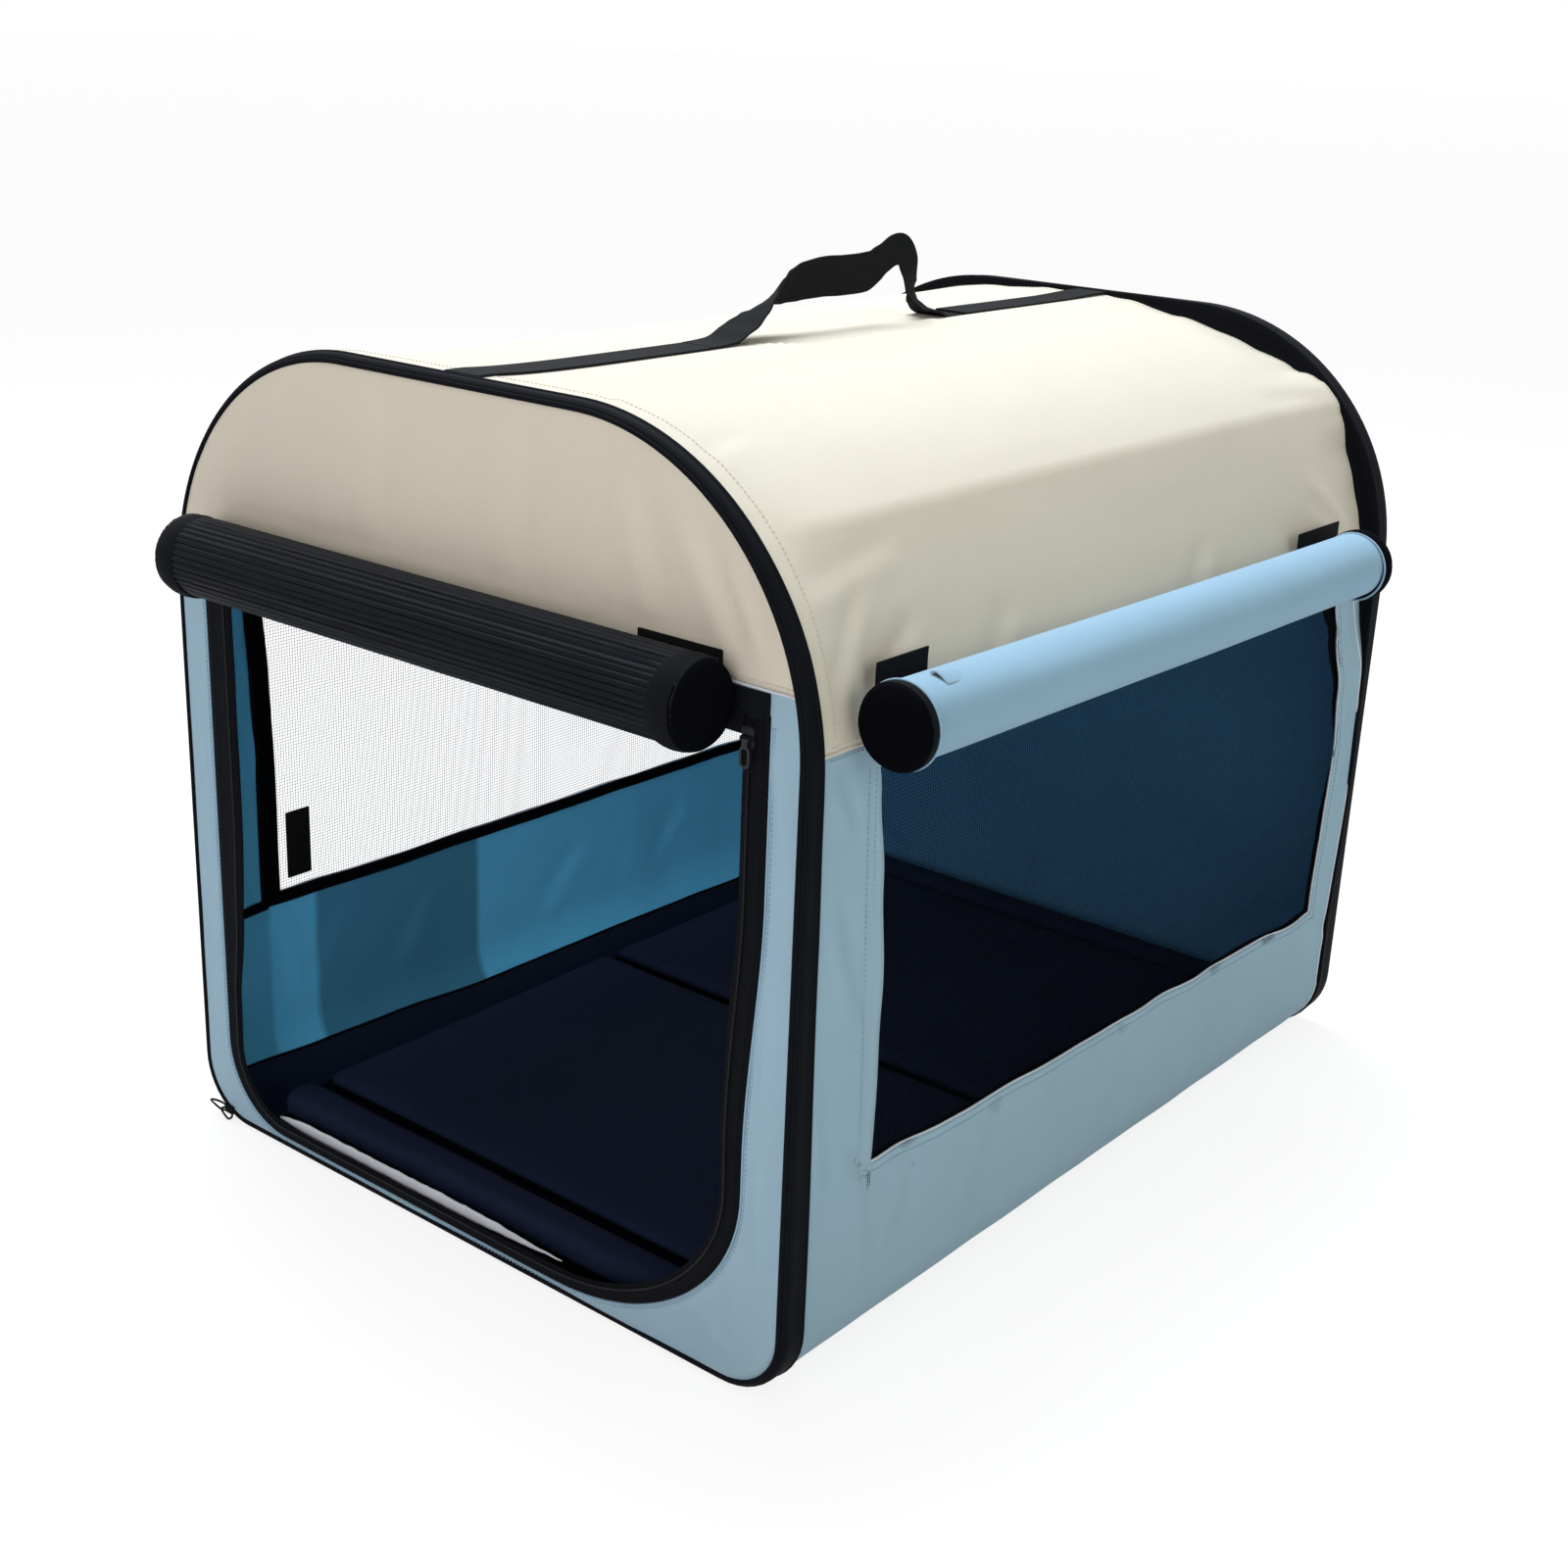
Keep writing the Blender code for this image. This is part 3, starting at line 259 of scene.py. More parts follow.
# %% [markdown]
# ## Cloth finishes
# All the cloth here is coated polyester: a fine plain weave, dull, with a faint sheen at
# grazing angles. One maker function keeps them alike, and each cloth gets its own
# colour, thread count and amount of slack. Edges that are rubbed grow paler, by an
# attribute that every sheet keeps on its rim.

# %% Cloth maker
def group_node(tree, group, **values):
    """Place a node group and set its inputs."""
    made = tree.nodes.new("ShaderNodeGroup")
    made.node_tree = group
    for label, value in values.items():
        feed(tree, made.inputs[label], value)
    return made.outputs


def shade_of(colour, factor):
    """A colour made darker or lighter."""
    return (*(min(1, part * factor) for part in colour), 1)


def start_material(name, roughness, sheen=0.0, shine=0.25):
    """Principled material with its plain numbers set on the shader."""
    made = bpy.data.materials.new(name)
    made.use_nodes = True
    shader = made.node_tree.nodes["Principled BSDF"]
    shader.inputs["Roughness"].default_value = roughness
    shader.inputs["Sheen Weight"].default_value = sheen
    shader.inputs["Sheen Roughness"].default_value = 0.4
    shader.inputs["Specular IOR Level"].default_value = shine
    return made, made.node_tree, shader


def relief(tree, shader, *layers):
    """Bumps on top of each other: each layer is a height, its depth in metres and strength."""
    normal = None
    for height, depth, strength in layers:
        bump = tree.nodes.new("ShaderNodeBump")
        bump.inputs["Distance"].default_value = depth
        bump.inputs["Strength"].default_value = strength
        tree.links.new(height, bump.inputs["Height"])
        if normal:
            tree.links.new(normal, bump.inputs["Normal"])
        normal = bump.outputs["Normal"]
    tree.links.new(normal, shader.inputs["Normal"])


def attribute(tree, name):
    """Number that a mesh keeps on its points, or 0 where it keeps none."""
    made = tree.nodes.new("ShaderNodeAttribute")
    made.attribute_name = name
    return made.outputs["Fac"]


def cloth(name, colour, threads=1100.0, slack=2.0, tone=0.14, rub=0.12, sheen=0.1, shine=0.25,
          roughness=0.85, painted_shade_depth=1.0):
    """Woven cloth with slack, tone and rubbed edges; its last number is how dark the places marked by the shade
    attribute are painted, as painted shade.
    """
    made, tree, shader = start_material(name, roughness, sheen, shine)
    flat = tree.nodes.new("ShaderNodeUVMap").outputs["UV"]
    place = tree.nodes.new("ShaderNodeTexCoord").outputs["Object"]
    weave = group_node(tree, weave_group, Place=flat, Threads=threads)
    use = group_node(tree, use_group, Place=place)
    toned = blend_colour(tree, use["Tone"], shade_of(colour, 1 - tone), shade_of(colour, 1 + tone))
    # Where the weave is low, between the threads, the colour goes darker: painted shade.
    painted_thread_shade = calc(tree, "MULTIPLY", calc(tree, "SUBTRACT", 1.0, weave["Height"]), 0.22)
    woven = blend_colour(tree, painted_thread_shade, toned, shade_of(colour, 0.5))
    yarn = calc(tree, "MULTIPLY", weave["Yarn"], 0.12)
    spun = blend_colour(tree, yarn, woven, shade_of(colour, 1.35))
    worn = calc(tree, "MULTIPLY", calc(tree, "MULTIPLY", attribute(tree, "rim"), use["Tone"]), rub * 2)
    pale = tuple(part + (0.75 - part) * 0.5 for part in colour)
    seen = blend_colour(tree, worn, spun, (*pale, 1))
    # Places marked by the shade attribute are darkened: painted shade.
    if painted_shade_depth < 1:
        seen = blend_colour(tree, attribute(tree, "shade"), seen, shade_of(colour, painted_shade_depth))
    tree.links.new(seen, shader.inputs["Base Color"])
    relief(tree, shader, (use["Slack"], slack * MM, 0.5), (weave["Height"], 0.12 * MM, 0.35))
    return made


CREAM = (0.60, 0.545, 0.44)
BLUE = (0.270, 0.399, 0.474)
cream_cloth = cloth("cream cloth", CREAM, tone=0.05, slack=3.0, rub=0.05)
blue_cloth = cloth("blue cloth", BLUE, tone=0.08, slack=3.0)
# The lining's own teal blue is made much lighter than it is, to stand for the light that comes through the thin
# walls: painted light. Zones marked by the shade attribute are darkened: painted shade.
lining_painted_light_and_shade_cloth = cloth("blue lining with painted light and shade", (0.112, 0.52, 0.91), tone=0.12, slack=3.0, rub=0.05, painted_shade_depth=0.3)
# A darker copy of the lining for the rear wall's inner side, which lies in shadow: painted shade.
lining_painted_shade_cloth = cloth("lining in painted shade", (0.054, 0.172, 0.318), tone=0.12, slack=3.0, rub=0.05, sheen=0.0,
                   shine=0.05)
edge_cloth = cloth("pale cloth edge", (0.55, 0.58, 0.62), tone=0.06, slack=0.5, rub=0.0)
bright_cloth = cloth("bright blue cloth", (0.235, 0.375, 0.475), tone=0.08, slack=2.0)
black_cloth = cloth("black cloth", (0.0016, 0.0018, 0.003), 900.0, 1.0, 0.25, 0.01, 0.0, 0.02)
door_cloth = cloth("door cloth", (0.0014, 0.0022, 0.0046), 600.0, 1.0, 0.2, 0.008, 0.0, 0.09, 0.55)
mat_cloth = cloth("mat cloth", (0.0085, 0.0135, 0.031), 700.0, 3.0, 0.3, 0.02, 0.0, 0.05)
print("cloth finishes", len(bpy.data.materials))

# %% [markdown]
# ## Webbing, net and hard finishes
# Webbing is woven in thick ribs that run along it. The frame is steel tube with a thin
# black coat, scuffed to bare metal in places, and its pins are bright. The hard finishes
# follow the object's own coordinates, because the frame's solids have no flat pattern.

# %% Webbing and hard finish makers
def webbing(name, colour, ribs=420.0, picks=600.0, depth=0.3):
    """Ribbed band: ribs across its width, picks along it."""
    made, tree, shader = start_material(name, 0.72, 0.0, 0.05)
    flat = tree.nodes.new("ShaderNodeUVMap").outputs["UV"]
    place = tree.nodes.new("ShaderNodeTexCoord").outputs["Object"]
    ribs_out = group_node(tree, rib_group, Place=flat, Ribs=ribs, Picks=picks)
    use = group_node(tree, use_group, Place=place, Size=0.05)
    # Rib tops are lighter and grooves darker in colour: painted highlight and painted shade on the ribs.
    painted_rib_light_and_shade = blend_colour(tree, ribs_out["Height"], shade_of(colour, 0.45), shade_of(colour, 1.5))
    worn = calc(tree, "MULTIPLY", use["Tone"], 0.01)
    tree.links.new(blend_colour(tree, worn, painted_rib_light_and_shade, (0.2, 0.2, 0.21, 1)), shader.inputs["Base Color"])
    relief(tree, shader, (use["Slack"], 1 * MM, 0.4), (ribs_out["Height"], depth * MM, 0.8))
    return made


def coated(name, colour, bare, roughness, metallic, grain, scuff, shine=0.25):
    """Hard coat with a fine grain, and scuffs down to what lies under it."""
    made, tree, shader = start_material(name, roughness, 0.0, shine)
    place = tree.nodes.new("ShaderNodeTexCoord").outputs["Object"]
    peel = speckle(tree, place, grain, 2.0).outputs[0]
    use = group_node(tree, use_group, Place=place, Size=0.03)
    marks = tree.nodes.new("ShaderNodeMapRange")
    marks.inputs["From Min"].default_value = 0.66 - scuff
    marks.inputs["From Max"].default_value = 0.72
    tree.links.new(use["Tone"], marks.inputs["Value"])
    toned = blend_colour(tree, peel, shade_of(colour, 0.7), shade_of(colour, 1.3))
    worn = marks.outputs[0]
    tree.links.new(blend_colour(tree, worn, toned, (*bare, 1)), shader.inputs["Base Color"])
    tree.links.new(calc(tree, "MULTIPLY", worn, metallic), shader.inputs["Metallic"])
    uneven = calc(tree, "ADD", roughness - 0.1, calc(tree, "MULTIPLY", peel, 0.2))
    tree.links.new(uneven, shader.inputs["Roughness"])
    relief(tree, shader, (peel, 0.2 * MM, 0.3))
    return made


black_webbing = webbing("black webbing", (0.0055, 0.006, 0.0068))
piping_cloth = webbing("black piping", (0.002, 0.0024, 0.004), ribs=300.0, picks=900.0, depth=0.15)
elastic_cloth = webbing("black elastic", (0.0025, 0.003, 0.004), ribs=900.0, picks=350.0, depth=0.2)
net_yarn = coated("net yarn", (0.0008, 0.0016, 0.003), (0.002, 0.003, 0.004), 0.9, 0.0, 900.0, 0.0, 0.03)
coated_steel = coated("coated steel", (0.016, 0.017, 0.019), (0.45, 0.45, 0.46), 0.38, 0.9, 700.0, 0.05)
bright_pin = coated("bright pin", (0.42, 0.42, 0.43), (0.3, 0.29, 0.28), 0.3, 0.9, 500.0, 0.3)
zip_metal = coated("zip metal", (0.008, 0.009, 0.011), (0.4, 0.4, 0.41), 0.3, 0.8, 900.0, 0.1)
coil_plastic = coated("zip coil", (0.005, 0.0058, 0.0075), (0.03, 0.031, 0.036), 0.45, 0.0, 900.0, 0.02)
print("finishes", len(bpy.data.materials))

# %% [markdown]
# ## The shape that every sheet follows
# Seen from the front the crate is a box with small round feet and big round
# shoulders. A point of its skin needs only two numbers: the run, which is the way
# round from the middle of the floor, and the place along the crate. Cloth between the
# hoops is pulled flat over a spreader bar on each side, so it sags a little away from
# the round shape, and the bar shows as a soft ridge.

# %% Runs round the crate
LENGTH, WIDTH, HEIGHT = 762 * MM, 584 * MM, 612 * MM
SHOULDER, FOOT = 187 * MM, 50 * MM
FRONT, REAR = -LENGTH / 2, LENGTH / 2
SHOULDER_Z = HEIGHT - SHOULDER
FLOOR_RUN = WIDTH / 2 - FOOT
WALL_RUN = FLOOR_RUN + FOOT * math.pi / 2
SHOULDER_RUN = WALL_RUN + SHOULDER_Z - FOOT
TOP_RUN = SHOULDER_RUN + SHOULDER * math.pi / 2
HALF_RUN = TOP_RUN + WIDTH / 2 - SHOULDER
FRONT_SEAM, SIDE_SEAM = 470 * MM, 434 * MM
RIDGE_RUN = SHOULDER_RUN + SHOULDER * math.radians(43)


def skin(run, out=0.0):
    """Point (x, z) of the section at a run, moved outwards."""
    run %= 2 * HALF_RUN
    side = 1
    if run > HALF_RUN:
        run, side = 2 * HALF_RUN - run, -1
    if run < FLOOR_RUN:
        x, z, nx, nz = run, 0, 0, -1
    elif run < WALL_RUN:
        turn = (run - FLOOR_RUN) / FOOT
        nx, nz = math.sin(turn), -math.cos(turn)
        x, z = FLOOR_RUN + FOOT * nx, FOOT + FOOT * nz
    elif run < SHOULDER_RUN:
        x, z, nx, nz = WIDTH / 2, FOOT + run - WALL_RUN, 1, 0
    elif run < TOP_RUN:
        turn = (run - SHOULDER_RUN) / SHOULDER
        nx, nz = math.cos(turn), math.sin(turn)
        x, z = WIDTH / 2 - SHOULDER + SHOULDER * nx, SHOULDER_Z + SHOULDER * nz
    else:
        x, z, nx, nz = HALF_RUN - run, HEIGHT, 0, 1
    return side * (x + nx * out), z + nz * out


def on_skin(run, y, out=0.0):
    """Point of the crate's skin."""
    x, z = skin(run, out)
    return Vector((x, y, z))


def run_at(height):
    """Run at which the right side reaches a height."""
    if height <= SHOULDER_Z:
        return WALL_RUN + height - FOOT
    return SHOULDER_RUN + SHOULDER * math.asin((height - SHOULDER_Z) / SHOULDER)


def steps(low, high, pitch):
    """Even steps from low to high, about a pitch apart."""
    count = max(1, round((high - low) / pitch))
    return [low + (high - low) * number / count for number in range(count + 1)]


def hump(value, low, high):
    """0 at both ends of a span and outside it, 1 in its middle."""
    if value <= low or value >= high:
        return 0.0
    share = (value - low) / (high - low)
    return 4 * share * (1 - share)


def along_table(table, value):
    """Value of a table at a place, eased between its rows."""
    if value <= table[0][0]:
        return table[0][1]
    for (a, low), (b, high) in zip(table, table[1:]):
        if value <= b:
            share = (value - a) / (b - a)
            share = share * share * (3 - 2 * share)
            return low + (high - low) * share
    return table[-1][1]


REAR_SINK = [(0.24, 1), (0.60, 1), (0.66, 9), (0.70, 13), (0.73, 15.5), (0.753, 16.5), (0.79, 14.5),
             (0.822, 5), (0.834, 1), (0.849, 1), (0.863, 5), (0.88, 13), (0.924, 19), (0.96, 18),
             (1.006, 12), (1.06, 4), (1.0943, 1.5)]


def sag(run, y):
    """How far the cloth between the hoops hangs inside the round shape."""
    to_left = min(1.0, max(0.0, (run % (2 * HALF_RUN) - HALF_RUN) / 0.05))
    run = min(run % (2 * HALF_RUN), 2 * HALF_RUN - run % (2 * HALF_RUN))
    sink = along_table(REAR_SINK, run) * (1 - 0.55 * to_left * min(1.0, max(0.0, (run - 0.72) / 0.06)))
    along = max(0.0, 1 - (abs(y) / 0.358) ** 10) if y < 0 else 1.0
    side = hump(run, run_at(SIDE_SEAM), RIDGE_RUN) * 10.5
    top = hump(run, RIDGE_RUN, TOP_RUN + 0.06) * 9.0
    top += hump(run, TOP_RUN - 0.02, 2 * HALF_RUN - TOP_RUN + 0.02) * 3.0
    wall = hump(run, FLOOR_RUN, run_at(SIDE_SEAM)) * 1.5
    near_rear = min(1.0, max(0.0, (y - 0.29) / 0.066))
    near_rear = near_rear * near_rear * (3 - 2 * near_rear)
    hang = (side + top + wall) * along
    return (hang + (sink - hang) * near_rear) * MM


print("once round", round(2 * HALF_RUN, 3), "m")

# %% [markdown]
# ## How a sheet is made
# Cloth can be a plane that is bent by modifiers, or a grid of points placed by a rule.
# Here a rule is better, because seams, windows and sag have known places. The grid
# keeps its flat pattern as a UV map in metres, a Solidify modifier gives it the
# thickness of cloth, and then it becomes a plain mesh. Small creases come from noise
# that is longer one way than the other, as real creases are.

# %% Piece and sheet makers
X_AXIS, Y_AXIS, Z_AXIS = Vector((1, 0, 0)), Vector((0, 1, 0)), Vector((0, 0, 1))


def settle(made):
    """Turn a piece's modifiers into its mesh."""
    bpy.context.view_layer.update()
    graph = bpy.context.evaluated_depsgraph_get()
    mesh = bpy.data.meshes.new_from_object(made.evaluated_get(graph))
    mesh.name = made.name
    made.modifiers.clear()
    made.data = mesh


def piece(name, mesh, finishes, slot, nodes=(), body="front_frame", smooth=40.0):
    """Finished object with its materials, body and the solids that it stands for; slot is not used."""
    made = bpy.data.objects.new(name, mesh)
    bpy.context.scene.collection.objects.link(made)
    if not mesh.materials:
        for finish in finishes:
            mesh.materials.append(finish)
    mesh.shade_smooth()
    mesh.set_sharp_from_angle(angle=math.radians(smooth))
    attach(made, body)
    if nodes:
        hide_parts(*nodes)
    return made


def thicken(made, thickness, inner=0):
    """Give a sheet its thickness, inwards, with another finish inside if wanted."""
    coat = made.modifiers.new("thickness", "SOLIDIFY")
    coat.thickness = thickness
    coat.offset = -1
    coat.material_offset = inner
    coat.material_offset_rim = 0
    settle(made)


def gives_way(made):
    """Give the piece a mesh of its own."""
    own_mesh(made)


def built_mesh(name, build):
    """Mesh of what was built."""
    mesh = bpy.data.meshes.new(name)
    build.to_mesh(mesh)
    build.free()
    return mesh


def quads(build, rows, place, closed=False, joined=False, skip=None, flip=False):
    """Faces between rows of points, with the flat place of each corner from its row and
    column. Closed rows meet their own start, and joined ones end at the first row."""
    flat = build.loops.layers.uv.new("UVMap")
    for i in range(len(rows) if joined else len(rows) - 1):
        for j in range(len(rows[0]) if closed else len(rows[0]) - 1):
            if skip and skip(i, j):
                continue
            corners = [(i, j), (i, j + 1), (i + 1, j + 1), (i + 1, j)]
            if flip:
                corners.reverse()
            face = build.faces.new([rows[a % len(rows)][b % len(rows[0])] for a, b in corners])
            for loop, corner in zip(face.loops, corners):
                loop[flat].uv = place(*corner)
    return flat


def grid_mesh(name, across, along, shape, rim=None, skip=None, flip=False):
    """Grid of points from a rule, with its flat pattern and the nearness of its rim."""
    build = bmesh.new()
    near = build.verts.layers.float.new("rim")
    rows = []
    for a in across:
        row = []
        for b in along:
            vert = build.verts.new(shape(a, b))
            away = min(a - across[0], across[-1] - a, b - along[0], along[-1] - b)
            if rim:
                away = min(away, rim(a, b))
            vert[near] = max(0.0, 1 - abs(away) / 0.01)
            row.append(vert)
        rows.append(row)
    quads(build, rows, lambda i, j: (across[i], along[j]), flip=flip, skip=skip and (
        lambda i, j: skip((across[i] + across[i + 1]) / 2, (along[j] + along[j + 1]) / 2)))
    loose = [vert for vert in build.verts if not vert.link_faces]
    bmesh.ops.delete(build, geom=loose, context="VERTS")
    return built_mesh(name, build)


def crease(a, b, seed, long_way=0.12, short_way=0.03):
    """Smooth noise between -1 and 1 that is longer along b."""
    return noise.noise(Vector((a / short_way, b / long_way, seed)))


def pulled(a, b, lines):
    """Height of pulled folds, each given in mm as two ends, a depth and a width."""
    a, b, total = a / MM, b / MM, 0.0
    for a0, b0, a1, b1, depth, width in lines:
        da, db = a1 - a0, b1 - b0
        length = math.hypot(da, db)
        share = ((a - a0) * da + (b - b0) * db) / length ** 2
        if 0 < share < 1:
            away = ((a - a0) * db - (b - b0) * da) / length / width
            total += depth * (1 - (2 * share - 1) ** 4) * away * math.exp(-away * away) * 2.3
    return total


def swept_mesh(name, frames, profile, caps=True):
    """Skin round a profile that is carried along frames of (place, side, up). Without caps
    the last frame is joined to the first."""
    build = bmesh.new()
    rings = [[build.verts.new(place + side * a + up * b) for a, b in profile] for place, side, up in frames]
    run, round_run = [0.0], [0.0]
    for before, after in zip(frames, frames[1:] + frames[:1]):
        run.append(run[-1] + (after[0] - before[0]).length)
    for before, after in zip(profile, profile[1:] + profile[:1]):
        round_run.append(round_run[-1] + math.dist(before, after))
    flat = quads(build, rings, lambda i, j: (round_run[j], run[i]), closed=True, joined=not caps)
    if caps:
        for ring in (rings[0], rings[-1]):
            for loop in build.faces.new(ring).loops:
                loop[flat].uv = (loop.vert.co.x, loop.vert.co.z)
    bmesh.ops.recalc_face_normals(build, faces=build.faces)
    return built_mesh(name, build)


def smooth_line(points, pitch):
    """Curve through points, at an even pitch."""
    full = [points[0]] + list(points) + [points[-1]]
    line = []
    for before, start, end, after in zip(full, full[1:], full[2:], full[3:]):
        count = max(1, math.ceil((end - start).length / pitch))
        for number in range(count):
            t = number / count
            line.append(0.5 * (2 * start + (end - before) * t
                               + (2 * before - 5 * start + 4 * end - after) * t * t
                               + (3 * start - before - 3 * end + after) * t ** 3))
    return line + [points[-1]]


def path_frames(points, up):
    """Frames of a line: side is square to it and to a fixed up."""
    frames = []
    for number, point in enumerate(points):
        ahead = (points[min(number + 1, len(points) - 1)] - points[max(number - 1, 0)]).normalized()
        side = ahead.cross(up).normalized()
        frames.append((point, side, side.cross(ahead)))
    return frames


def band_profile(width, thickness):
    """Flat band with soft edges, its underside at 0."""
    half, soft = width / 2, thickness * 0.35
    return [(-half, soft), (-half + soft, 0), (half - soft, 0), (half, soft),
            (half, thickness - soft), (half - soft, thickness), (-half + soft, thickness),
            (-half, thickness - soft)]


print("sheet makers ready")

# %% [markdown]
# ## The roof
# One cream sheet runs from side seam to side seam. It is cut as a rectangle, and its
# shape is the skin's shape less the sag, with shallow creases that run from hoop to
# hoop and fine puckers where it is sewn to the black bands.

# %% Roof sheet
ROOF_LOW, ROOF_HIGH = FRONT + 5.5 * MM, REAR - 14.5 * MM
ROOF_FOLDS = [(12, -106, 78, -38, 2.2, 6), (-12, -106, -74, -48, 2.0, 6), (14, 112, 84, 62, 2.4, 8),
              (16, 118, 112, 104, 1.8, 8), (-14, 112, -84, 70, 2.2, 8), (384, -342, 330, -250, 1.5, 9),
              (362, -352, 300, -296, 1.2, 9), (386, -200, 340, -150, 0.9, 12), (384, 60, 340, 104, 0.9, 12),
              (384, 332, 318, 268, 1.5, 10), (-384, -332, -318, -268, 1.4, 10), (-384, 332, -318, 268, 1.4, 10),
              (300, -362, 280, -250, 1.0, 10), (250, 348, 238, 250, 1.0, 10), (200, -366, 176, -296, 0.9, 9),
              (-200, -366, -176, -296, 0.9, 9), (120, -370, 108, -318, 0.8, 8), (150, 352, 138, 292, 0.9, 9)]
roof_runs = steps(run_at(SIDE_SEAM), 2 * HALF_RUN - run_at(SIDE_SEAM), 5.5 * MM)
roof_places = steps(ROOF_LOW, ROOF_HIGH, 5.5 * MM)


def roof_out(run, y):
    """Height of the roof's cloth over the round shape."""
    along = hump(y, ROOF_LOW, ROOF_HIGH)
    soft = crease(run, y, 3.1, 0.35, 0.09) * 1.6 + crease(run, y, 7.7, 0.10, 0.035) * 0.5
    end = max(0.0, 1 - min(y - ROOF_LOW, ROOF_HIGH - y) / 0.03)
    pucker = math.sin(run / 0.0045 + 3 * crease(run, 0, 5.0, 1, 0.05)) * 0.18 * end
    return (soft * along ** 0.5 + pucker + pulled(HALF_RUN - run, y, ROOF_FOLDS)) * MM - sag(run, y)


roof_mesh = grid_mesh("roof_cover", roof_runs, roof_places, lambda a, b: on_skin(a, b, roof_out(a, b)))
roof_cover = piece("roof_cover", roof_mesh, [cream_cloth], "cream_fabric", ["roof_panel"])
thicken(roof_cover, 1.1 * MM)
gives_way(roof_cover)
print("roof", len(roof_cover.data.polygons), "faces")

# %% [markdown]
# ## End walls
# Each end has a cream panel over a blue one, joined by a straight seam. The front blue
# panel is cut away for the door, which leaves a frame that is narrow at the sides and
# has round lower corners. A full panel can be a grid whose rows grow and shrink with
# the outline. The door's frame is a ring instead, built between two matching lines.

# %% End panels
EDGE = 4.2 * MM


def half_width(z):
    """Half the width of an end panel at a height, inside the band's piping."""
    if z < FOOT:
        return FLOOR_RUN + math.sqrt(max(0.0, (FOOT - EDGE) ** 2 - (FOOT - z) ** 2))
    if z > SHOULDER_Z:
        reach = SHOULDER - EDGE
        return WIDTH / 2 - SHOULDER + math.sqrt(max(0.0, reach ** 2 - (z - SHOULDER_Z) ** 2))
    return WIDTH / 2 - EDGE


def end_panel(name, low, high, y, facing, finishes, slot, nodes, body, folded=()):
    """Panel across one end, between two heights."""
    def shape(share, z):
        x = share * half_width(z)
        edge = min(half_width(z) - abs(x), z - low, high - z)
        soft = (crease(x, z, y + 2.0, 0.3, 0.07) * 1.4 + pulled(x, z, folded)) * min(1.0, edge / 0.02)
        return Vector((x, y + facing * soft * MM, z))

    heights = steps(low, high, 5 * MM)
    shares = steps(-1, 1, 0.019)
    build = grid_mesh(name, shares, heights, shape,
                      rim=lambda a, b: half_width(b) * (1 - abs(a)), flip=facing < 0)
    for loop in build.loops:
        place = build.vertices[loop.vertex_index].co
        build.uv_layers["UVMap"].data[loop.index].uv = (place.x, place.z)
    made = piece(name, build, finishes, slot, nodes, body)
    thicken(made, 1.1 * MM, len(finishes) - 1)
    area = sum(2 * half_width(z) for z in heights[:-1]) * (heights[1] - heights[0])
    return made


FRONT_FOLDS = [(196, 562, 240, 482, 1.6, 11), (150, 578, 176, 492, 1.3, 13), (-200, 570, -236, 500, 1.4, 12),
               (-62, 592, -80, 500, 1.1, 17), (62, 594, 48, 500, 1.1, 17), (-262, 540, -250, 486, 1.2, 8),
               (100, 478, 190, 485, 1.2, 6), (-170, 480, -60, 488, 1.0, 8), (232, 540, 262, 482, 1.2, 7)]
REAR_FOLDS = [(-180, 420, -80, 120, 1.5, 20), (150, 430, 60, 160, 1.5, 22), (240, 90, 180, 40, 1.6, 10),
              (-240, 90, -170, 36, 1.6, 10), (-150, 560, -180, 484, 1.2, 12), (120, 570, 150, 486, 1.2, 12)]
CREST = HEIGHT - EDGE
front_cream = end_panel("front_upper_cover", FRONT_SEAM + 0.3 * MM, CREST, FRONT, -1, [cream_cloth],
                        "cream_fabric", ["front_wall_upper"], "front_frame", FRONT_FOLDS)
rear_cream = end_panel("rear_upper_cover", FRONT_SEAM + 0.3 * MM, CREST, REAR, 1, [cream_cloth],
                       "cream_fabric", ["rear_wall_upper"], "rear_frame", REAR_FOLDS)
# The rear wall's inner side is the lining in painted shade.
rear_blue = end_panel("rear_lower_cover", EDGE, FRONT_SEAM, REAR, 1, [blue_cloth, lining_painted_shade_cloth],
                      "blue_fabric", ["rear_wall_lower"], "rear_frame", REAR_FOLDS)
print("end panels", front_cream.name, rear_cream.name, rear_blue.name)

# %% Door frame ring
DOOR_TOP, DOOR_FOOT = 455.5 * MM, 11 * MM
DOOR_LEFT, DOOR_RIGHT = -258 * MM, 252 * MM
LEFT_CORNER, RIGHT_CORNER, RIGHT_RISE = 62 * MM, 160 * MM, 130 * MM
DOOR_FOLDS = [(222, 62, 246, 24, 1.6, 7), (276, 330, 270, 180, 1.3, 6), (268, 180, 274, 80, 1.2, 6),
              (-272, 340, -268, 210, 1.1, 5), (-266, 200, -270, 110, 1.0, 5), (150, 12, 205, 24, 0.9, 5),
              (-240, 40, -262, 72, 1.0, 5), (270, 440, 282, 360, 1.3, 6)]
DOOR_LEAN = [(0.17, 0.0), (0.34, 10.5), (0.46, 10.5)]
LOOP_COUNTS = (44, 14, 44, 26, 44, 60)


def arc_points(x, z, radius, start, end, count, rise=None):
    """Points of an arc, without its last one, which may rise more or less than it is wide."""
    angles = [math.radians(start + (end - start) * n / count) for n in range(count)]
    return [(x + radius * math.cos(angle), z + (rise or radius) * math.sin(angle)) for angle in angles]


def line_points(start, end, count):
    """Points of a straight line, without its last one."""
    return [tuple(a + (b - a) * n / count for a, b in zip(start, end)) for n in range(count)]


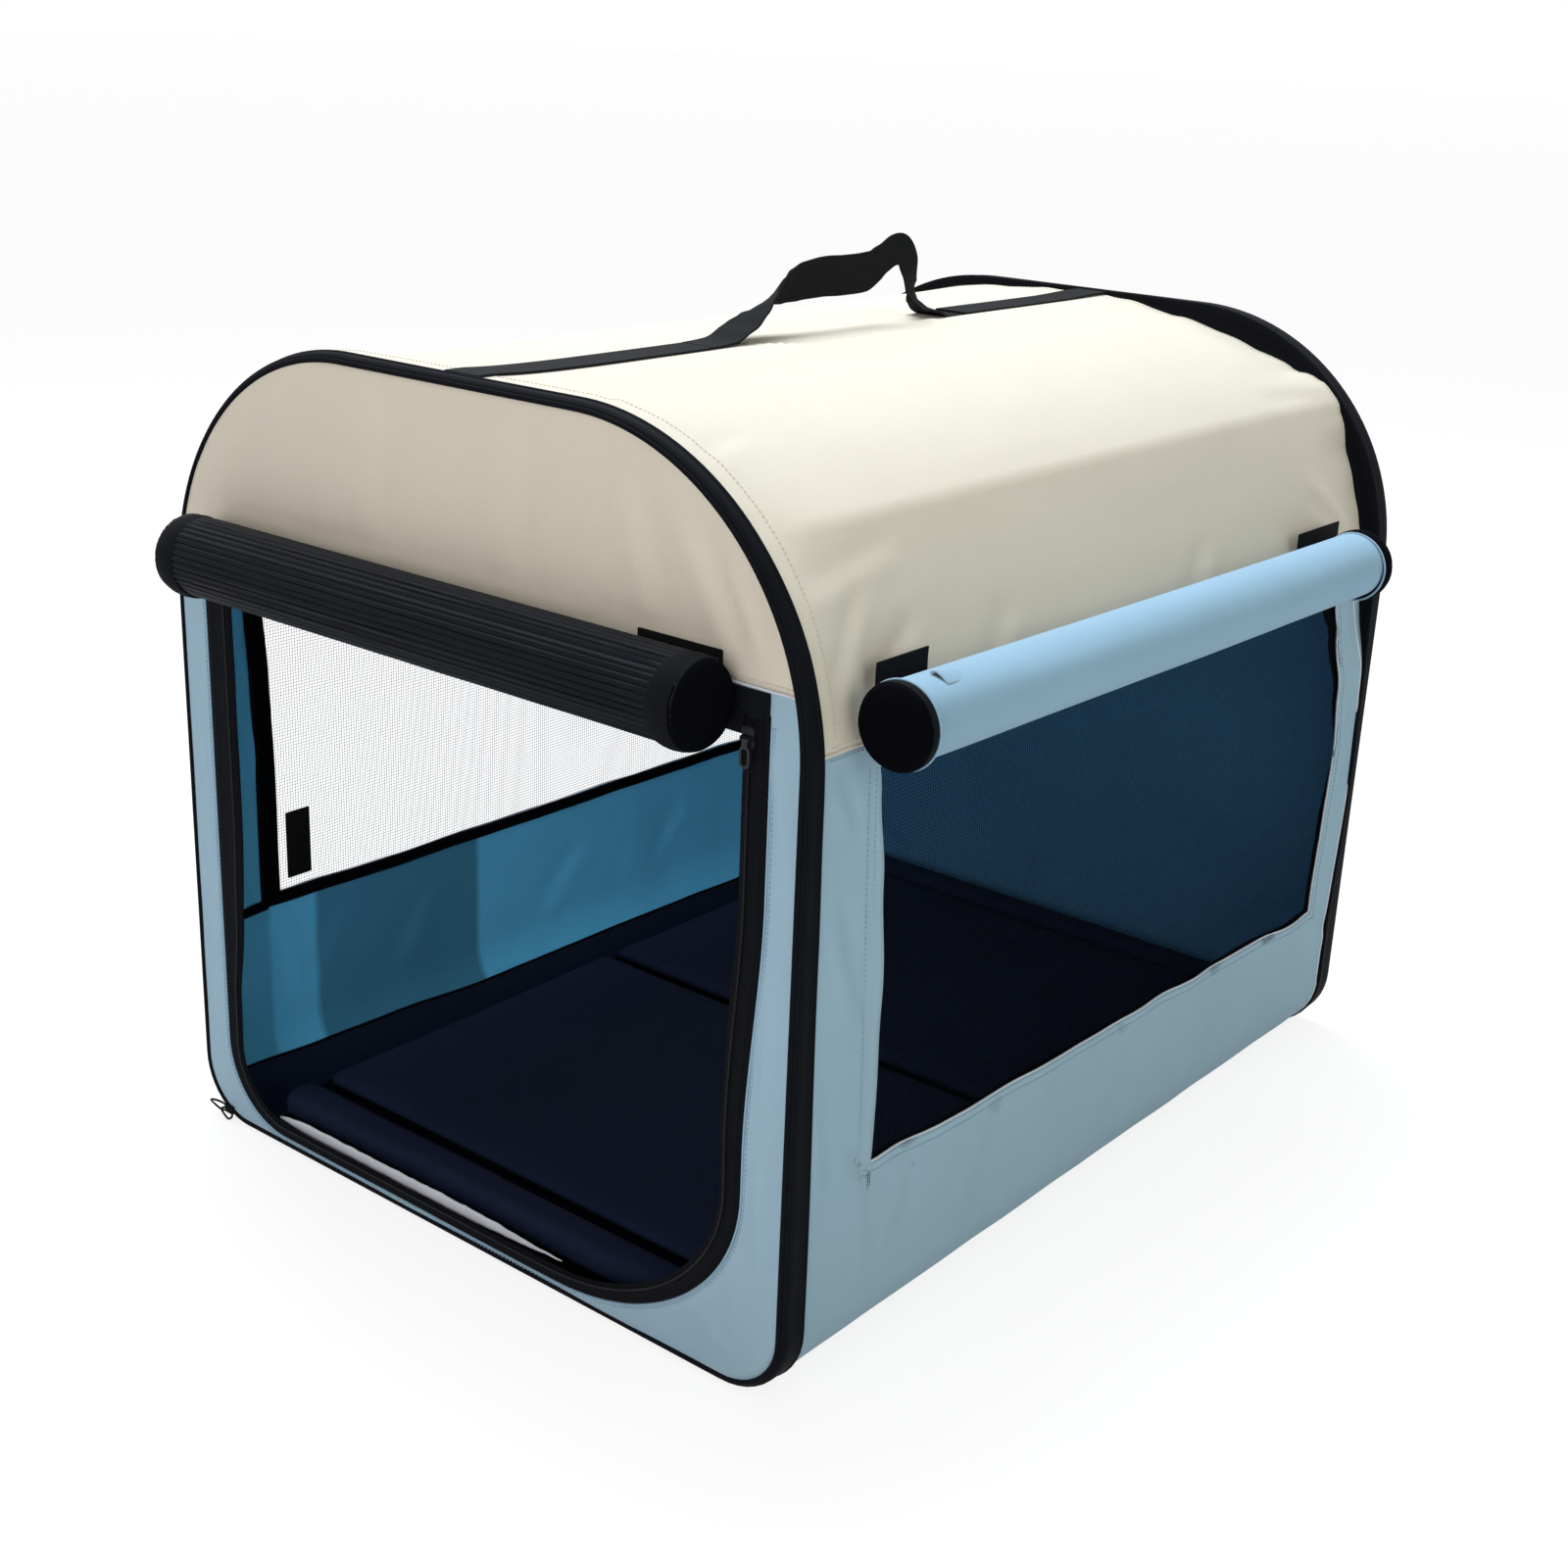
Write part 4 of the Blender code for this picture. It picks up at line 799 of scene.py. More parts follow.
def door_loop(inset):
    """The door opening as a closed line: down the left, round, up the right and back."""
    counts = LOOP_COUNTS
    left, right, foot = DOOR_LEFT + inset, DOOR_RIGHT - inset, DOOR_FOOT + inset
    top, lc, rc, rise = DOOR_TOP, LEFT_CORNER - inset, RIGHT_CORNER - inset, RIGHT_RISE - inset
    points = line_points((left, top), (left, foot + lc), counts[0])
    points += arc_points(left + lc, foot + lc, lc, 180, 270, counts[1])
    points += line_points((left + lc, foot), (right - rc, foot), counts[2])
    points += arc_points(right - rc, foot + rise, rc, -90, 0, counts[3], rise)
    leaning = line_points((right, foot + rise), (right, top), counts[4])
    points += [(right + along_table(DOOR_LEAN, z) * MM, z) for _, z in leaning]
    return points + line_points((right + DOOR_LEAN[-1][1] * MM, top), (left, top), counts[5])


def open_door_loop(inset):
    """The door's line without its top."""
    return door_loop(inset)[:-LOOP_COUNTS[-1]]


def wall_loop():
    """The lower end wall's outline, with a point for each one of the door's line."""
    counts = LOOP_COUNTS
    seam = half_width(FRONT_SEAM)
    reach = FOOT - EDGE
    left = [(-half_width(z), z) for _, z in line_points((0, FRONT_SEAM), (0, FOOT), counts[0])]
    points = left + arc_points(-FLOOR_RUN, FOOT, reach, 180, 270, counts[1])
    points += line_points((-FLOOR_RUN, EDGE), (FLOOR_RUN, EDGE), counts[2])
    points += arc_points(FLOOR_RUN, FOOT, reach, -90, 0, counts[3])
    points += [(half_width(z), z) for _, z in line_points((0, FOOT), (0, FRONT_SEAM), counts[4])]
    return points + line_points((seam, FRONT_SEAM), (-seam, FRONT_SEAM), counts[5])


def between(build, outer, inner, shares, shape):
    """Rows of points between two lines with as many points, with the nearness of the rim."""
    near = build.verts.layers.float.new("rim")
    rows = []
    for share in shares:
        row = []
        for (ax, az), (bx, bz) in zip(outer, inner):
            x, z = ax + (bx - ax) * share, az + (bz - az) * share
            vert = build.verts.new(shape(x, z, share))
            vert[near] = abs(2 * share - 1) ** 4
            row.append(vert)
        rows.append(row)
    return rows


def ring_mesh(name, outer, inner, shares, shape):
    """Sheet between two closed lines."""
    build = bmesh.new()
    rows = between(build, outer, inner, shares, shape)

    def place(i, j):
        point = rows[i][j % len(outer)].co
        return point.x + point.y, point.z

    quads(build, rows, place, closed=True)
    return built_mesh(name, build)


def loop_area(points):
    """Area inside a closed line."""
    pairs = zip(points, points[1:] + points[:1])
    return abs(sum(ax * bz - bx * az for (ax, az), (bx, bz) in pairs)) / 2


def line_length(points):
    """Length of a closed line."""
    return sum(math.dist(a, b) for a, b in zip(points, points[1:] + points[:1]))


def front_shape(x, z, share):
    """Slack in the narrow front frame."""
    soft = (crease(x * 0.5 + z, z, 9.0, 0.2, 0.05) * 1.2 + pulled(x, z, DOOR_FOLDS)) * 4 * share * (1 - share)
    return Vector((x, FRONT - soft * MM, z))


frame_area = loop_area(wall_loop()) - loop_area(door_loop(0))
front_ring = ring_mesh("front_lower_cover", wall_loop(), door_loop(0), steps(0, 1, 0.1), front_shape)
# Its inner side is the lining, with painted light.
front_blue = piece("front_lower_cover", front_ring, [blue_cloth, lining_painted_light_and_shade_cloth], "blue_fabric",
                   ["front_wall_lower"])
thicken(front_blue, 1.1 * MM, 1)
strip_length = (line_length(wall_loop()) + line_length(door_loop(0))) / 2
print("front frame area", round(frame_area, 4), "m2")

# %% [markdown]
# ## Side walls
# Each side is one blue sheet from the floor seam up to the side seam, with a window
# cut in it. Its hole has sharp lower corners and a top rear corner that pulls in,
# because the cloth there hangs from the rolled cover's seam. The grid gets lines just at
# the window's edges, the cells inside are left out, and then the edges are eased out of
# straight, more near the window and not at all far from it.

# %% Side walls with their windows
SIDES = (("left", -1), ("right", 1))
WINDOWS = {1: (-299 * MM, 323 * MM, 138 * MM, 415 * MM), -1: (-309 * MM, 323 * MM, 159 * MM, 415 * MM)}
WALL_LOW_RUN, WALL_HIGH_RUN = FLOOR_RUN - 4 * MM, run_at(SIDE_SEAM)
WALL_FRONT, WALL_REAR = FRONT + 5.5 * MM, REAR - 14.5 * MM
TUB_TOP = 19 * MM
TUB_EASE = [(-0.347, 7), (-0.274, 3.8), (-0.202, 2.3), (-0.096, -2.7), (0.056, -3), (0.165, -4.3),
            (0.241, -6.2)]
TUB_RUN = FLOOR_RUN + FOOT * math.acos(1 - TUB_TOP / FOOT)
WALL_FOLDS = [(-350, 342, -322, 250, 2.2, 9), (-362, 250, -345, 120, 1.6, 8), (-330, 160, -302, 118, 1.6, 7),
              (-374, 152, -304, 132, 1.3, 3), (-305, 140, -296, 62, 1.3, 5), (-150, 118, -190, 60, 1.2, 12),
              (40, 110, -20, 50, 1.2, 14), (180, 112, 130, 60, 1.1, 12), (300, 110, 345, 60, 1.6, 10),
              (330, 140, 362, 90, 1.6, 8), (347, 330, 338, 180, 1.3, 7), (-250, 128, -275, 70, 1.1, 9),
              (-358, 425, -330, 380, 1.4, 7), (345, 425, 352, 360, 1.2, 6)]
FRONT_EASE = [(0.12, 1), (0.17, 2), (0.26, 3), (0.34, -2), (0.40, -10), (0.43, -15)]
REAR_EASE = [(0.12, -4), (0.155, -2), (0.20, 2), (0.27, 13), (0.32, 0), (0.374, -24), (0.40, -42), (0.43, -50)]
LOW_EASE = [(-0.32, 9), (-0.29, 7), (-0.18, 1), (0.05, -4), (0.18, -7), (0.30, -13), (0.34, -12)]


def eased(y, z, side):
    """Where a point of the straight pattern lies on the real, slack wall."""
    front, rear, low, _ = WINDOWS[side]
    ease = 1.0 if side > 0 else 0.4
    near_front = math.exp(-((y - front) / 0.03) ** 2) * ease
    near_rear = math.exp(-((y - rear) / 0.045) ** 2) * (1 if y < rear else 0.6)
    near_low = math.exp(-((z - low) / 0.035) ** 2) * ease
    rise = min(1.0, max(0.0, (SIDE_SEAM - z) / 0.01))
    shift = along_table(FRONT_EASE, z) * near_front + along_table(REAR_EASE, z) * near_rear
    moved_y = y + shift * MM * rise
    moved_z = z + (along_table(LOW_EASE, y) + 1.5 * crease(y, 0, 4.0, 1, 0.05)) * near_low * MM
    return moved_y, moved_z


def wall_grid(side):
    """Grid lines of a side wall, with lines on the window's edges."""
    front, rear, low, top = WINDOWS[side]
    runs = steps(WALL_LOW_RUN, TUB_RUN, 5 * MM)[:-1] + steps(TUB_RUN, run_at(low), 5 * MM)[:-1]
    runs += steps(run_at(low), run_at(top), 7 * MM)[:-1] + steps(run_at(top), WALL_HIGH_RUN, 5 * MM)
    places = steps(WALL_FRONT, front, 5 * MM)[:-1]
    places += steps(front, rear, 7 * MM)[:-1] + steps(rear, WALL_REAR, 5 * MM)
    return runs, places


def from_window(run, y, side):
    """Distance of a point of the pattern from the window's edge."""
    front, rear, low, top = WINDOWS[side]
    z = run - WALL_RUN + FOOT
    return abs(max(front - y, y - rear, low - z, z - top))


def wall_point(side, run, y, lift=0.0):
    """Point of a side wall's outer face: side is 1 for the right, -1 for the left."""
    z = run - WALL_RUN + FOOT
    moved_y, moved_z = eased(y, z, side) if run > WALL_RUN else (y, z)
    moved_z += along_table(TUB_EASE, y) * MM * math.exp(-((run - TUB_RUN) / 0.012) ** 2)
    edge = min(y - WALL_FRONT, WALL_REAR - y, run - WALL_LOW_RUN) + 0.001
    soft = (crease(y, z, 5.5 + side, 0.2, 0.05) * 1.6 + pulled(y, z, WALL_FOLDS)) * min(1, edge / 0.02)
    curl = max(0.0, 1 - from_window(run, y, side) / 0.02) * crease(y, z, 8.0 + side, 0.06, 0.04) * 1.2
    hang = sag(run + moved_z - z, moved_y)
    point = on_skin(run + moved_z - z, moved_y, (soft + curl) * MM * min(1, max(0.0, z / 0.05)) - hang)
    out_x, out_z = skin(run + moved_z - z, 1.0)
    out_x, out_z = out_x - skin(run + moved_z - z)[0], out_z - skin(run + moved_z - z)[1]
    return Vector((side * (point.x + out_x * lift), point.y, max(0.3 * MM, point.z + out_z * lift)))


def wall_row(side, run, low, high, lift, pitch=8 * MM):
    """Line along a side wall at one run, lifted off the cloth."""
    return [wall_point(side, run, y, lift) for y in steps(low, high, pitch)]


def wall_rise(side, y, low, high, lift, pitch):
    """Line up a side wall at one place along the crate, lifted off the cloth."""
    return [wall_point(side, run_at(z), y, lift) for z in steps(low, high, pitch)]


def side_cover(name, side, nodes):
    """Blue side wall with its window, its lining and the dark foot of its inner side."""
    runs, places = wall_grid(side)
    front, rear, low, top = WINDOWS[side]
    mesh = grid_mesh(name, runs, places, lambda a, b: wall_point(side, a, b), flip=side < 0,
                     rim=lambda a, b: from_window(a, b, side),
                     skip=lambda a, b: run_at(low) < a < run_at(top) and front < b < rear)
    # On the left lining two zones get the shade attribute, the wall under the window and a strip near the
    # front: painted shade.
    if side < 0:
        shade = mesh.attributes.new("shade", "FLOAT", "POINT")
        for number, vert in enumerate(mesh.vertices):
            y = vert.co.y + 4 * MM * crease(vert.co.z, 0, 2.0, 1, 0.05)
            shade.data[number].value = 0.8 if -0.273 < y < -0.096 else 0.45 * (y < -0.318)
    made = piece(name, mesh, [blue_cloth, lining_painted_light_and_shade_cloth, mat_cloth], "blue_fabric", nodes)
    thicken(made, 1.1 * MM, 1)
    for face in made.data.polygons:
        tub = TUB_TOP + along_table(TUB_EASE, face.center.y) * 0.78 * MM
        if face.material_index == 1 and face.center.z < tub:
            face.material_index = 2
    gives_way(made)
    return made


right_cover = side_cover("right_side_cover", 1, ["right_wall"])
side_cover("left_side_cover", -1, ["left_wall"])
print("side wall faces", len(right_cover.data.polygons))

# %% [markdown]
# ## Black edge bands
# A black band wraps each hoop. In front it is stiff, with a piped bead along both edges: one
# on the front face, one round the corner on the roof and sides. Behind, it is loose
# cloth whose inner edge wanders, wide on the shoulders and narrow where it is pulled
# tight. Both are one profile carried round the crate's section.

# %% Band sweeps
BAND_STEPS = 300
FRONT_WIDTH = [(0.24, 20), (0.36, 20), (0.58, 16.5), (0.67, 15), (0.75, 12.5), (0.84, 10.5), (0.95, 9.5),
               (1.09, 9)]
REAR_EDGE = [(0.24, 27), (0.37, 24), (0.50, 16), (0.60, 18), (0.68, 22), (0.75, 23), (0.95, 23), (1.06, 18),
             (1.0943, 16)]


def bead(inset, y, radius, start, end, count=6):
    """Points (inset, y) of a piped edge, from an angle to another."""
    angles = [math.radians(start + (end - start) * n / count) for n in range(count + 1)]
    return [(inset + radius * math.cos(angle), y + radius * math.sin(angle)) for angle in angles]


def front_band_profile(run):
    """Section of the front band, as (inset, way back from the front face)."""
    wave = crease(run, 0, 2.0, 1, 0.06) * 0.3 * MM
    width = along_table(FRONT_WIDTH, min(run, 2 * HALF_RUN - run)) * MM
    outer = bead(4.2 * MM, 0.2 * MM, 1.9 * MM, 20, -160)
    outer += bead(4.6 * MM, 4.6 * MM, 5.1 * MM, -100, -178, 6)
    span = width - 8 * MM
    outer += [(-0.5 * MM + wave, 5.6 * MM + span * 0.3), (-0.5 * MM - wave, 5.6 * MM + span * 0.7)]
    outer += bead(-0.1 * MM, width - 1.5 * MM, 1.4 * MM, -120, -285)
    inner = [(0.9 * MM, 5.4 * MM + span * 0.8), (0.9 * MM, 5.2 * MM)]
    return outer + inner + bead(4.6 * MM, 4.6 * MM, 3.8 * MM, -170, -98, 5)


def rear_band_profile(run):
    """Section of the rear band, as (inset, way in front of the rear face)."""
    width = along_table(REAR_EDGE, min(run, 2 * HALF_RUN - run)) * MM
    lift = (0.5 + 0.4 * crease(run, 0, 6.0, 1, 0.05)) * MM
    sink = sag(run, REAR - width) + 0.7 * MM
    outer = bead(6.0 * MM, -0.1 * MM, 1.9 * MM, 20, -160)
    outer += bead(7.4 * MM, 7.4 * MM, 8.1 * MM, -100, -178, 8)
    for share in (0.3, 0.6, 0.9):
        outer.append((-0.7 * MM - lift * share, 9 * MM + (width - 9 * MM) * share))
    outer += [(-1.1 * MM - lift, width - 1 * MM), (-0.5 * MM - lift, width), (sink * 0.5, width + 0.3 * MM),
              (sink, width + 0.2 * MM)]
    inner = [(sink, width - 1.0 * MM), (max(0.6 * MM, sink * 0.5), width - 1.1 * MM),
             (0.5 * MM, width - 1.6 * MM), (0.5 * MM, 9 * MM + (width - 9 * MM) * 0.5), (0.9 * MM, 9 * MM)]
    return outer + inner + bead(7.4 * MM, 7.4 * MM, 6.5 * MM, -170, -98, 5)


def band(name, profile, end, inwards, nodes, body):
    """Carry a section round the crate."""
    build = bmesh.new()
    rings = []
    for number in range(BAND_STEPS):
        run = 2 * HALF_RUN * number / BAND_STEPS
        ring = [on_skin(run, end + inwards * back, -inset) for inset, back in profile(run)]
        rings.append([build.verts.new((place.x, place.y, max(0.1 * MM, place.z))) for place in ring])
    quads(build, rings, lambda i, j: (j * 1.6 * MM, 2 * HALF_RUN * i / BAND_STEPS), closed=True, joined=True)
    bmesh.ops.recalc_face_normals(build, faces=build.faces)
    return piece(name, built_mesh(name, build), [piping_cloth], "black_fabric", nodes, body)


front_band = band("front_hoop_cover", front_band_profile, FRONT, 1, ["front_edge_band"], "front_frame")
rear_band = band("rear_hoop_cover", rear_band_profile, REAR, -1, ["rear_edge_band"], "rear_frame")
print("band faces", len(front_band.data.polygons))

# %% [markdown]
# ## Welts
# Where cream and blue meet, a thin welt of folded cloth covers the seam. It is a small round
# cord of cloth, so a round profile is carried along the seam.

# %% Seam welts
def round_profile(radius, sides=8):
    """Circle as a profile."""
    return [(radius * math.cos(2 * math.pi * n / sides), radius * math.sin(2 * math.pi * n / sides))
            for n in range(sides)]


def welt(name, points, finish, slot, radius=1.1 * MM, up=(0, 0, 1), body="front_frame", folds=False):
    """Thin cord of cloth along a seam."""
    mesh = swept_mesh(name, path_frames(points, Vector(up)), round_profile(radius))
    made = piece(name, mesh, [finish], slot, body=body, smooth=80)
    if folds:
        gives_way(made)


seam_half = half_width(FRONT_SEAM)
for end_name, y in (("front", FRONT - 0.3 * MM), ("rear", REAR + 0.3 * MM)):
    across = [Vector((x, y, FRONT_SEAM)) for x in steps(-seam_half, seam_half, 10 * MM)]
    welt(end_name + "_seam_welt", across, edge_cloth, "cream_fabric", 0.8 * MM, body=end_name + "_frame")
for side_name, side in SIDES:
    seam_line = wall_row(side, WALL_HIGH_RUN, FRONT + 12 * MM, WALL_REAR - 3 * MM, 0.3 * MM)
    foot_line = wall_row(side, FLOOR_RUN + 27 * MM, FRONT + 9 * MM, WALL_REAR - 3 * MM, 0.2 * MM)
    tub_line = wall_row(side, TUB_RUN, FRONT + 9 * MM, WALL_REAR - 3 * MM, -1.4 * MM)
    welt(side_name + "_seam_welt", seam_line, cream_cloth, "cream_fabric", folds=True)
    welt(side_name + "_foot_piping", foot_line, piping_cloth, "black_fabric", 1.0 * MM, folds=True)
    welt(side_name + "_floor_piping", tub_line, piping_cloth, "black_fabric", 1.2 * MM, folds=True)
    front, rear, low, top = WINDOWS[side]
    hem = wall_row(side, run_at(low), front, rear, 0.1 * MM, 7 * MM)[:-1]
    hem += wall_rise(side, rear, low, top, 0.1 * MM, 7 * MM)
    welt(side_name + "_window_edge", hem, edge_cloth, "blue_fabric", 0.7 * MM, folds=True)
    hem = [wall_point(side, run, REAR - (along_table(REAR_EDGE, run) + 1.3) * MM, 0.2 * MM)
           for run in steps(FLOOR_RUN + 12 * MM, WALL_HIGH_RUN, 7 * MM)]
    welt(side_name + "_rear_edge", hem, edge_cloth, "blue_fabric", 0.8 * MM, (0, 1, 0), folds=True)
door_edge = [Vector((x, FRONT - 0.4 * MM, z)) for x, z in open_door_loop(-2.2 * MM)]
welt("door_frame_edge", door_edge, bright_cloth, "blue_fabric", 0.7 * MM, (0, 1, 0))
print("welts", 13)

# %% [markdown]
# ## The door's zip
# The open door leaves half of its zip sewn round the opening: a tape, and along its inner
# edge a coil of teeth. The tape is a ring between two matching lines. The
# teeth repeat hundreds of times along a line, which is work for Geometry Nodes.

# %% Repeat along a line
def geometry_tree(name, wanted):
    """Geometry Nodes tree with named inputs and one geometry in and out."""
    shape = ("Geometry", "NodeSocketGeometry")
    return new_group(name, [(*shape, None)] + wanted, [shape], "GeometryNodeTree")


def link_chain(tree, *nodes):
    """Join each node's first output to the next node's first input."""
    for before, after in zip(nodes, nodes[1:]):
        tree.links.new(before.outputs[0], after.inputs[0])


def run_tree(name, tree, source, settings):
    """Run a tree on a mesh of lines and return the plain mesh."""
    holder = bpy.data.objects.new(name, source)
    bpy.context.scene.collection.objects.link(holder)
    step = holder.modifiers.new(tree.name, "NODES")
    step.node_group = tree
    for item in tree.interface.items_tree:
        if item.in_out == "INPUT" and item.name in settings:
            step[item.identifier] = settings[item.name]
    settle(holder)
    mesh = holder.data
    bpy.data.objects.remove(holder)
    return mesh


MATERIAL = "NodeSocketMaterial"
beads_tree, given, result = geometry_tree("beads along a line", [
    ("Pitch", FLOAT, 4 * MM), ("Length", FLOAT, 2.8 * MM), ("Breadth", FLOAT, 0.7 * MM),
    ("Height", FLOAT, 0.6 * MM), ("Finish", MATERIAL, None)])
to_curve = beads_tree.nodes.new("GeometryNodeMeshToCurve")
to_points = beads_tree.nodes.new("GeometryNodeCurveToPoints")
to_points.mode = "LENGTH"
grain = beads_tree.nodes.new("GeometryNodeMeshIcoSphere")
grain.inputs["Radius"].default_value = 0.5
grain.inputs["Subdivisions"].default_value = 1
turn = beads_tree.nodes.new("FunctionNodeAlignRotationToVector")
turn.axis = "Z"
size = beads_tree.nodes.new("ShaderNodeCombineXYZ")
lay = beads_tree.nodes.new("GeometryNodeInstanceOnPoints")
realize = beads_tree.nodes.new("GeometryNodeRealizeInstances")
paint = beads_tree.nodes.new("GeometryNodeSetMaterial")
beads_tree.links.new(given["Geometry"], to_curve.inputs[0])
link_chain(beads_tree, to_curve, to_points, lay, realize, paint)
beads_tree.links.new(given["Pitch"], to_points.inputs["Length"])
beads_tree.links.new(to_points.outputs["Tangent"], turn.inputs["Vector"])
beads_tree.links.new(grain.outputs[0], lay.inputs["Instance"])
beads_tree.links.new(turn.outputs[0], lay.inputs["Rotation"])
for label, axis in (("Breadth", 0), ("Height", 1), ("Length", 2)):
    beads_tree.links.new(given[label], size.inputs[axis])
beads_tree.links.new(size.outputs[0], lay.inputs["Scale"])
beads_tree.links.new(given["Finish"], paint.inputs["Material"])
beads_tree.links.new(paint.outputs[0], result["Geometry"])


def lines_mesh(name, lines):
    """Mesh of edges only, one row of them for each line of points."""
    points, edges = [], []
    for line in lines:
        start = len(points)
        points += [tuple(point) for point in line]
        edges += [(n, n + 1) for n in range(start, len(points) - 1)]
    mesh = bpy.data.meshes.new(name)
    mesh.from_pydata(points, edges, [])
    return mesh


def beads(name, lines, finish, slot, pitch, length, breadth, folds=False):
    """Row of stitches or teeth along each line."""
    mesh = run_tree(name, beads_tree, lines_mesh(name, lines), {
        "Pitch": pitch, "Length": length, "Breadth": breadth, "Height": breadth, "Finish": finish})
    made = piece(name, mesh, [finish], slot, smooth=80)
    if folds:
        gives_way(made)
    return made


# %% Zip tape and teeth
tape_front = FRONT - 0.6 * MM
open_count = len(open_door_loop(0))
TAPE_WIDTH = [(0, 27), (24, 27), (32, 23), (40, 15), (50, 13), (58, 9), (96, 9), (122, 15), (150, 18.5),
              (240, 18.5)]


def tape_line(share):
    """Line along the tape, from its outer edge (0) to its inner edge (1)."""
    line = []
    for number in range(open_count + 1):
        width = along_table(TAPE_WIDTH, number) * MM
        x, z = door_loop((width + 1 * MM) * share - 1 * MM)[number]
        line.append((x, min(z, DOOR_TOP - 0.3 * MM)))
    return line


tape_outer, tape_inner = tape_line(0), tape_line(1)


def tape_shape(x, z, share):
    """The tape's face, which hangs slightly loose along its inner edge."""
    return Vector((x, tape_front - (0.6 * crease(x + z, z, 1.0, 0.1, 0.05) * share) * MM, z))


def strip_mesh(name, outer, inner, shares, shape):
    """Sheet between two open lines."""
    build = bmesh.new()
    rows = between(build, outer, inner, shares, shape)
    run = [0.0]
    for before, after in zip(outer, outer[1:]):
        run.append(run[-1] + math.dist(before, after))
    width = math.dist(outer[0], inner[0])
    quads(build, rows, lambda i, j: (shares[i] * width, run[j]))
    return built_mesh(name, build)


tape_mesh = strip_mesh("door_tape", tape_outer, tape_inner, steps(0, 1, 0.2), tape_shape)
door_tape = piece("door_tape", tape_mesh, [piping_cloth], "black_fabric", ["door_zip_tape"])
thicken(door_tape, 1.0 * MM)
tape_run = line_length(tape_outer) - math.dist(tape_outer[0], tape_outer[-1])
coil_line = [Vector((x, tape_front - 0.9 * MM, z)) for x, z in tape_line(0.74) if z < DOOR_TOP - 4 * MM]
door_coil = beads("door_zip_teeth", [coil_line], coil_plastic, "plastic", 1.5 * MM, 1.1 * MM, 2.0 * MM)
print("teeth faces", len(door_coil.data.polygons))

# %% [markdown]
# ## Window nets
# The windows are fine square net, so fine that it nearly vanishes against a bright
# ground. Every strand is there: two sets of thin bars laid by Geometry Nodes, from inputs for
# the window's size, the pitch and the strand.

# %% Net tree
net_tree, given, result = geometry_tree("square net", [
    ("Breadth", FLOAT, 0.6), ("Height", FLOAT, 0.3), ("Pitch", FLOAT, 2.4 * MM),
    ("Strand", FLOAT, 0.2 * MM), ("Finish", MATERIAL, None)])
both = net_tree.nodes.new("GeometryNodeJoinGeometry")
for across_label, along_label, axis in (("Breadth", "Height", 0), ("Height", "Breadth", 1)):
    count = calc(net_tree, "FLOOR", calc(net_tree, "DIVIDE", given[across_label], given["Pitch"]))
    row = net_tree.nodes.new("GeometryNodeMeshLine")
    row.mode = "OFFSET"
    net_tree.links.new(count, row.inputs["Count"])
    way, start, scale = (net_tree.nodes.new("ShaderNodeCombineXYZ") for n in range(3))
    feed(net_tree, way.inputs[axis], given["Pitch"])
    span = calc(net_tree, "MULTIPLY", calc(net_tree, "SUBTRACT", count, 1.0), given["Pitch"])
    feed(net_tree, start.inputs[axis], calc(net_tree, "MULTIPLY", span, -0.5))
    feed(net_tree, start.inputs[2], calc(net_tree, "MULTIPLY", given["Strand"], 0.45 * (1 - 2 * axis)))
    net_tree.links.new(start.outputs[0], row.inputs["Start Location"])
    net_tree.links.new(way.outputs[0], row.inputs["Offset"])
    bar = net_tree.nodes.new("GeometryNodeMeshCube")
    feed(net_tree, scale.inputs[axis], given["Strand"])
    feed(net_tree, scale.inputs[1 - axis], given[along_label])
    feed(net_tree, scale.inputs[2], given["Strand"])
    laid = net_tree.nodes.new("GeometryNodeInstanceOnPoints")
    link_chain(net_tree, row, laid)
    net_tree.links.new(bar.outputs[0], laid.inputs["Instance"])
    net_tree.links.new(scale.outputs[0], laid.inputs["Scale"])
    net_tree.links.new(laid.outputs[0], both.inputs[0])
realize = net_tree.nodes.new("GeometryNodeRealizeInstances")
paint = net_tree.nodes.new("GeometryNodeSetMaterial")
link_chain(net_tree, both, realize, paint)
net_tree.links.new(given["Finish"], paint.inputs["Material"])
net_tree.links.new(paint.outputs[0], result["Geometry"])

# %% Nets in their windows
NET_PITCH, STRAND = 2.5 * MM, 0.2 * MM


def net_edge(z):
    """How far back the net reaches at a height, just past the window's slack rear edge."""
    return WINDOWS[1][1] + (along_table(REAR_EASE, z) + 12) * MM


for side_name, side, foot in (("left", -1, 150 * MM), ("right", 1, 121 * MM)):
    net_low, net_high = (-318 * MM, foot), (336 * MM, 424 * MM)
    net_size = tuple(high - low for low, high in zip(net_low, net_high))
    net_middle = Vector((WIDTH / 2 - 2.2 * MM, *((low + high) / 2 for low, high in zip(net_low, net_high))))
    blank = bpy.data.meshes.new("blank")
    mesh = run_tree(side_name + "_net", net_tree, blank, {
        "Breadth": net_size[0], "Height": net_size[1], "Pitch": NET_PITCH, "Strand": STRAND,
        "Finish": net_yarn})
    mesh.transform(Matrix(((0, 0, side, side * net_middle.x), (1, 0, 0, net_middle.y),
                           (0, 1, 0, net_middle.z), (0, 0, 0, 1))))
    if side < 0:
        mesh.flip_normals()
    for vert in mesh.vertices:
        if vert.co.z > net_high[1] - 0.1 * MM:
            while vert.co.y > net_edge(vert.co.z) and vert.co.z > 0.3:
                vert.co.z -= 2 * MM
        vert.co.y = min(vert.co.y, net_edge(vert.co.z))
    net = piece(side_name + "_net", mesh, [net_yarn], "net", [side_name + "_window_mesh"])
    gives_way(net)
print("net faces", len(net.data.polygons), "size", [round(v, 3) for v in net_size])

